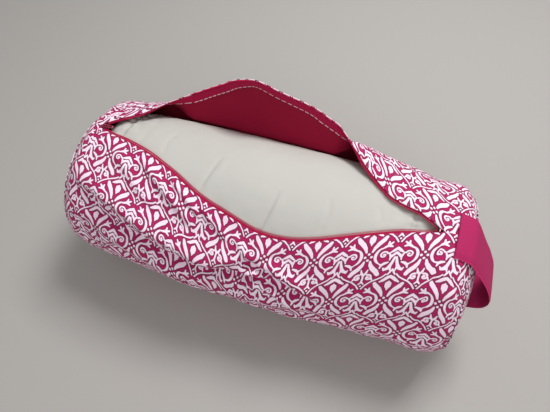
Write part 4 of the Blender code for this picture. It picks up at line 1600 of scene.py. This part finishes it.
@dataclass
class Zip:
    """The zip's tapes and coils along both lips; its slider and stops keep the frame's shape."""

    body: Body
    finishes: Finishes
    bend: tuple[Vector, Vector]
    tape_depths: tuple[float, ...] = (0.0021, 0.0025, 0.0028, 0.0032, 0.0035)
    tape_width: float = 0.013
    tape_shows: float = 0.0014
    tape_thickness: float = 0.0005
    tape_step: float = 0.0035
    tape_clear: float = 0.006
    coil_out: float = 0.0028
    coil_depth: float = 0.0019
    coil_radius: float = 0.0010
    coil_clear: float = 0.0034
    edge_samples: int = 900
    tooth_pitch: float = 0.0013
    tooth_shape: Point = (0.42, 2.2, 1.9)
    tooth_bevel: float = 0.2
    hem: float = 0.0020
    front_shows: float = 0.0018
    front_range: tuple[float, float] = (-0.232, 0.215)
    front_fade: float = 0.03

    def edge(self, back: bool, start: float, end: float, step: float) -> tuple[Array, Array]:
        """Points of a lip's edge on the flattened cloth, at an even step.

        Args:
            back: Whether it is the back lip.
            start: Its first x.
            end: Its last x.
            step: Length between points.

        Returns:
            The x values and the arc lengths round the body.
        """
        xs = np.linspace(start, end, self.edge_samples)
        knots = self.body.back_edge if back else self.body.front_edge
        arcs = np.radians([through(knots, x) for x in xs]) * self.body.radius
        run = run_from(np.hypot(np.diff(xs), np.diff(arcs)))
        even = np.linspace(0.0, run[-1], max(2, round(run[-1] / step)) + 1)
        return np.interp(even, run, xs), np.interp(even, run, arcs)

    def points_beside(self, x: Array, arc: Array, out: float, depth: float, back: bool) -> Array:
        """Points of the open cover a distance out from a lip's edge, towards the mouth.

        Args:
            x: Places of the edge along the bolster.
            arc: Its places round the body, as lengths.
            out: How far out the points lie.
            depth: How far below the printed face.
            back: Whether it is the back lip.

        Returns:
            The points.
        """
        dx, da = np.gradient(x), np.gradient(arc)
        first, last = self.front_range
        if back:
            out = out - self.hem * self.body.flap_share(x)
        else:
            shown = smooth_step((x - first) / self.front_fade) * smooth_step((last - x) / self.front_fade)
            out = -(out + self.front_shows * shown)
        out = out / np.hypot(dx, da)
        x, angle = x - da * out, np.degrees((arc + dx * out) / self.body.radius)
        points = self.body.surface(x, angle, depth)
        return self.body.opened(x, angle, points) if back else points

    def build_tape(self, name: str, back: bool, start: float, end: float) -> Piece:
        """Makes a woven tape along a lip, on the lining's inner side.

        Args:
            name: The piece's name.
            back: Whether it lies along the back lip.
            start: Its first x.
            end: Its last x.

        Returns:
            The tape.
        """
        x, arc = self.edge(back, start, end, self.tape_step)
        shares = np.linspace(0.0, 1.0, len(self.tape_depths))
        points = np.stack([self.points_beside(x, arc, self.tape_shows - share * self.tape_width, depth, back)
                           for share, depth in zip(shares, self.tape_depths)], axis=1)
        run = run_from(np.hypot(np.diff(x), np.diff(arc)))
        flat = np.stack(np.meshgrid(run, 1.0 - 2.0 * shares, indexing="ij"), axis=-1)
        faces = grid_faces(len(x), len(shares), flip=not back)
        piece = piece_from(name, points, faces, self.finishes.tape, flat)
        thicken(piece, self.tape_thickness)
        return piece

    def tooth(self) -> tuple[Array, Faces]:
        """One loop of the coil, with its place at the origin: along the tape is x, out of it y, up z.

        Returns:
            The loop's points and faces.
        """
        width, length, height = self.tooth_shape
        deselect()
        bpy.ops.mesh.primitive_cylinder_add(
            vertices=6, radius=self.coil_radius * width, depth=self.coil_radius * length,
            rotation=(math.radians(90.0), 0.0, 0.0))
        loop = bpy.context.object
        bpy.ops.object.mode_set(mode="EDIT")
        bpy.ops.mesh.select_all(action="SELECT")
        bpy.ops.transform.resize(value=(1.0, 1.0, height))
        bpy.ops.mesh.bevel(offset=self.coil_radius * self.tooth_bevel, segments=1, affect="EDGES")
        bpy.ops.object.mode_set(mode="OBJECT")
        bpy.ops.object.transform_apply(location=True, rotation=True, scale=True)
        mesh = loop.data
        points = read_points(mesh)
        faces = [tuple(face.vertices) for face in mesh.polygons]
        bpy.data.objects.remove(loop, do_unlink=True)
        bpy.data.meshes.remove(mesh)
        return points, faces

    def build_coil(self, name: str, back: bool, start: float, end: float) -> Piece:
        """Makes a lip's coil: a row of loops on the tape's edge.

        Args:
            name: The piece's name.
            back: Whether it lies along the back lip.
            start: Its first x.
            end: Its last x.

        Returns:
            The coil.
        """
        x, arc = self.edge(back, start, end, self.tooth_pitch)
        centre = self.points_beside(x, arc, self.coil_out, self.coil_depth, back)
        out = self.points_beside(x, arc, self.coil_out + self.coil_radius, self.coil_depth, back) - centre
        along = np.gradient(centre, axis=0)
        along /= np.linalg.norm(along, axis=1, keepdims=True)
        out -= along * np.sum(out * along, axis=1, keepdims=True)
        out /= np.linalg.norm(out, axis=1, keepdims=True)
        points, loops = self.tooth()
        placed = centre[:, None] + points @ np.stack([along, out, np.cross(along, out)], axis=1)
        faces = [tuple(first + i for i in loop) for first in range(0, placed.size // 3, len(points))
                 for loop in loops]
        piece = piece_from(name, placed, faces, self.finishes.coil)
        face_outwards(piece)
        return piece

    def build(self) -> list[Piece]:
        """Builds both tapes and coils, and dresses the slider, its tab and the stops.

        Returns:
            The new pieces.
        """
        left, right = self.body.mouth_left[0], self.body.mouth_right[0]
        made = []
        for piece, slot, build, clear in (("tape", "zip_tape", self.build_tape, self.tape_clear),
                                          ("coil", "zip_coil", self.build_coil, self.coil_clear)):
            front = build(f"zip_{piece}_along_front", False, left + clear, right - 2 * clear)
            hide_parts(f"zip_{piece}_front")
            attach(front, "cover")
            back = build(f"zip_{piece}_along_back", True, left + clear, right - 2 * clear)
            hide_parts(f"zip_{piece}_back_left", f"zip_{piece}_flap", f"zip_{piece}_back_right")
            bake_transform(back)
            for made_piece in (front, back):
                made.append(made_piece)
        for node in ("zip_slider", "zip_pull_tab", "zip_stop_left", "zip_stop_right"):
            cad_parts[node].data.materials.clear()
            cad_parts[node].data.materials.append(self.finishes.metal)
        return made


# The handle

@dataclass
class Handle:
    """The flat strap sewn over the right end, in two lengths that meet in the middle of the grip."""

    body: Body
    finishes: Finishes
    front_y: float = -0.047
    back_y: float = 0.0125
    thickness: float = 0.0024
    lift: float = 0.0005
    end_lift: float = 0.0009
    settled: float = 0.45
    columns: int = 15
    top_rows: int = 7
    free_rows: int = 46
    bottom_rows: int = 12
    roll_from: float = 0.9
    route: Knots = (
        (0.2604, 0.2306), (0.268, 0.2278), (0.276, 0.218), (0.285, 0.203), (0.296, 0.185), (0.307, 0.168),
        (0.315, 0.151), (0.318, 0.136), (0.314, 0.122), (0.304, 0.1135), (0.295, 0.1105))
    top: tuple[float, float] = (0.2466, 0.2600)
    bottom: tuple[float, float] = (0.1085, 0.0760)

    def seats(self, tree: BVHTree, starts: Array, look: Vector, lift: float) -> Array:
        """The strap's outer face where it lies on the cover.

        Args:
            tree: The cover's surface.
            starts: Points to look from.
            look: The direction to look in.
            lift: The room left under the strap.

        Returns:
            A point for each start.
        """
        row = []
        for start in starts:
            hit, normal = tree.ray_cast(Vector(start), look)[:2]
            row.append(tuple(hit - look * (lift + self.thickness) / abs(normal.dot(look))))
        return np.array(row)

    def level(self, x: float, z: float) -> Array:
        """A row of points across the strap's width, at one x and one height."""
        return np.array([(x, y, z) for y in np.linspace(self.front_y, self.back_y, self.columns)])

    def outer_rows(self, cover: list[Piece]) -> Array:
        """Rows of points of the strap's outer face, from its sewn top to its sewn bottom.

        Args:
            cover: The cloths that it is sewn to.

        Returns:
            The rows.
        """
        bm = bmesh.new()
        for piece in cover:
            bm.from_mesh(piece.data)
        tree = BVHTree.FromBMesh(bm)
        bm.free()
        top = [self.seats(tree, self.level(x, 1.0), Vector((0, 0, -1)), self.lift)
               for x in np.linspace(*self.top, self.top_rows)]
        bottom = [self.seats(tree, self.level(1.0, z), Vector((-1, 0, 0)), self.end_lift)
                  for z in np.linspace(*self.bottom, self.bottom_rows)]
        knots = np.array(self.route)
        run = run_from(np.hypot(*np.diff(knots, axis=0).T))
        along_x, along_z = (tuple(zip(run.tolist(), column)) for column in knots.T.tolist())
        free = []
        for s, share in zip(np.linspace(0.0, run[-1], self.free_rows), np.linspace(0.0, 1.0, self.free_rows)):
            leave = 1.0 - smooth_step(share / self.settled)
            arrive = smooth_step((share - 1.0 + self.settled) / self.settled)
            drawn = (top[-1] - self.level(*knots[0])) * leave + (bottom[0] - self.level(*knots[-1])) * arrive
            free.append(self.level(through(along_x, s), through(along_z, s)) + drawn)
        return np.array(top[:-1] + free + bottom[1:])

    def build_length(self, name: str, rows: Array, run: Array) -> Piece:
        """Makes one length of the strap.

        Args:
            name: The piece's name.
            rows: Its outer face's rows of points.
            run: How far along the strap each row lies.

        Returns:
            The piece, closed at both ends.
        """
        normal = np.cross(np.gradient(rows, axis=0), np.gradient(rows, axis=1))
        normal /= np.linalg.norm(normal, axis=-1, keepdims=True)
        share = np.linspace(-1.0, 1.0, self.columns)
        rounded = np.clip((np.abs(share) - self.roll_from) / (1.0 - self.roll_from), 0.0, 1.0)
        roll = (self.thickness * 0.5 * rounded ** 2)[None, :, None]
        inner = rows - normal * (self.thickness - roll)
        ring = np.concatenate([rows - normal * roll, inner[:, ::-1]], axis=1)
        count = ring.shape[1]
        faces = grid_faces(len(rows), count, closed=True, flip=True)
        faces += [tuple(range(count))[::-1], tuple(range((len(rows) - 1) * count, len(rows) * count))]
        flat = np.stack(np.meshgrid(run, np.concatenate([share, share[::-1]]), indexing="ij"), axis=-1)
        piece = piece_from(name, ring, faces, self.finishes.strap, flat)
        face_outwards(piece)
        return piece

    def build(self, cover: list[Piece]) -> list[Piece]:
        """Builds the strap against the cover.

        Args:
            cover: The cloths that it is sewn to.

        Returns:
            Its two lengths.
        """
        rows = self.outer_rows(cover)
        middle = rows[:, self.columns // 2]
        run = run_from(np.linalg.norm(np.diff(middle, axis=0), axis=1))
        grip = int(np.argmax(middle[:, 0]))
        upper = self.build_length("strap_upper", rows[:grip + 1], run[:grip + 1])
        lower = self.build_length("strap_lower", rows[grip:], run[grip:])
        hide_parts("handle_sewn_top", "handle_upper_run", "handle_grip")
        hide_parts("handle_lower_run", "handle_sewn_bottom")
        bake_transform(upper)
        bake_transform(lower)
        return [upper, lower]


# The studio

@dataclass
class Studio:
    """A pale floor, soft lights, and a camera where the photograph was taken from."""

    eye: Point = (0.1269, -0.3201, 0.6736)
    forward: Point = (-0.1840, 0.5130, -0.8384)
    down: Point = (0.2656, -0.7953, -0.5449)
    lens: float = 28.15
    sensor: float = 36.0
    nearest: float = 0.01
    lit_point: Point = (0.0, 0.0, 0.1)
    lights: tuple[tuple[str, Point, float, float, Colour], ...] = (
        ("window_light", (0.40, 0.80, 1.85), 0.7, 32.0, (1.0, 0.99, 0.97)),
        ("room_light", (0.6, -1.5, 1.6), 1.4, 15.0, (1.0, 0.98, 0.96)))
    room_strength: float = 0.34
    floor_colour: Colour = (0.40, 0.385, 0.37)
    floor_roughness: float = 0.9
    floor_size: float = 8.0
    floor_height: float = -0.0004

    def build_camera(self) -> None:
        """Sets the camera as the photograph was taken."""
        data = bpy.data.cameras.new("photo_camera")
        data.lens = self.lens
        data.sensor_width = self.sensor
        data.clip_start = self.nearest
        camera = bpy.data.objects.new("photo_camera", data)
        bpy.context.scene.collection.objects.link(camera)
        ahead = Vector(self.forward).normalized()
        low = Vector(self.down)
        low = (low - ahead * low.dot(ahead)).normalized()
        turn = Matrix((low.cross(ahead), -low, -ahead)).transposed().to_4x4()
        camera.matrix_world = Matrix.Translation(Vector(self.eye)) @ turn
        bpy.context.scene.camera = camera

    def build_floor(self) -> None:
        """Lays a wide pale floor under the bolster."""
        deselect()
        bpy.ops.mesh.primitive_grid_add(x_subdivisions=4, y_subdivisions=4, size=self.floor_size,
                                        location=(0.0, 0.0, self.floor_height))
        floor = bpy.context.object
        floor.name = "floor"
        material, _, shader = new_material("pale_floor")
        shader.inputs["Base Color"].default_value = (*self.floor_colour, 1.0)
        shader.inputs["Roughness"].default_value = self.floor_roughness
        floor.data.materials.append(material)

    def build_lights(self) -> None:
        """Hangs the square soft lights, which look at the bolster."""
        for name, place, size, power, colour in self.lights:
            data = bpy.data.lights.new(name, "AREA")
            data.size = size
            data.energy = power
            data.color = colour
            light = bpy.data.objects.new(name, data)
            bpy.context.scene.collection.objects.link(light)
            light.location = place
            light.rotation_mode = "QUATERNION"
            light.rotation_quaternion = (Vector(self.lit_point) - Vector(place)).to_track_quat("-Z", "Y")

    def build(self) -> None:
        """Builds camera, floor, lights and world."""
        self.build_camera()
        self.build_floor()
        self.build_lights()
        world = bpy.data.worlds.new("plain_room")
        world.use_nodes = True
        backdrop = world.node_tree.nodes["Background"]
        backdrop.inputs["Color"].default_value = (1.0, 1.0, 1.0, 1.0)
        backdrop.inputs["Strength"].default_value = self.room_strength
        bpy.context.scene.world = world
        bpy.context.scene.view_settings.view_transform = "Standard"


def main() -> None:
    """Builds the bolster's pieces in order and reports each one."""
    logging.basicConfig(level=logging.INFO, format="%(name)s: %(message)s")
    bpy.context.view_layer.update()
    body = Body()
    finishes = Finishes()
    cover = Cover(body, finishes)
    cloths = cover.build()
    insert = Insert(finishes).build()
    zips = Zip(body, finishes, cover.bend_line()).build()
    straps = Handle(body, finishes).build(cloths)
    for piece in [*cloths, insert, *zips, *straps]:
        log.info("%s: %d faces", piece.name, len(piece.data.polygons))
    Studio().build()


if __name__ == "__main__":
    main()
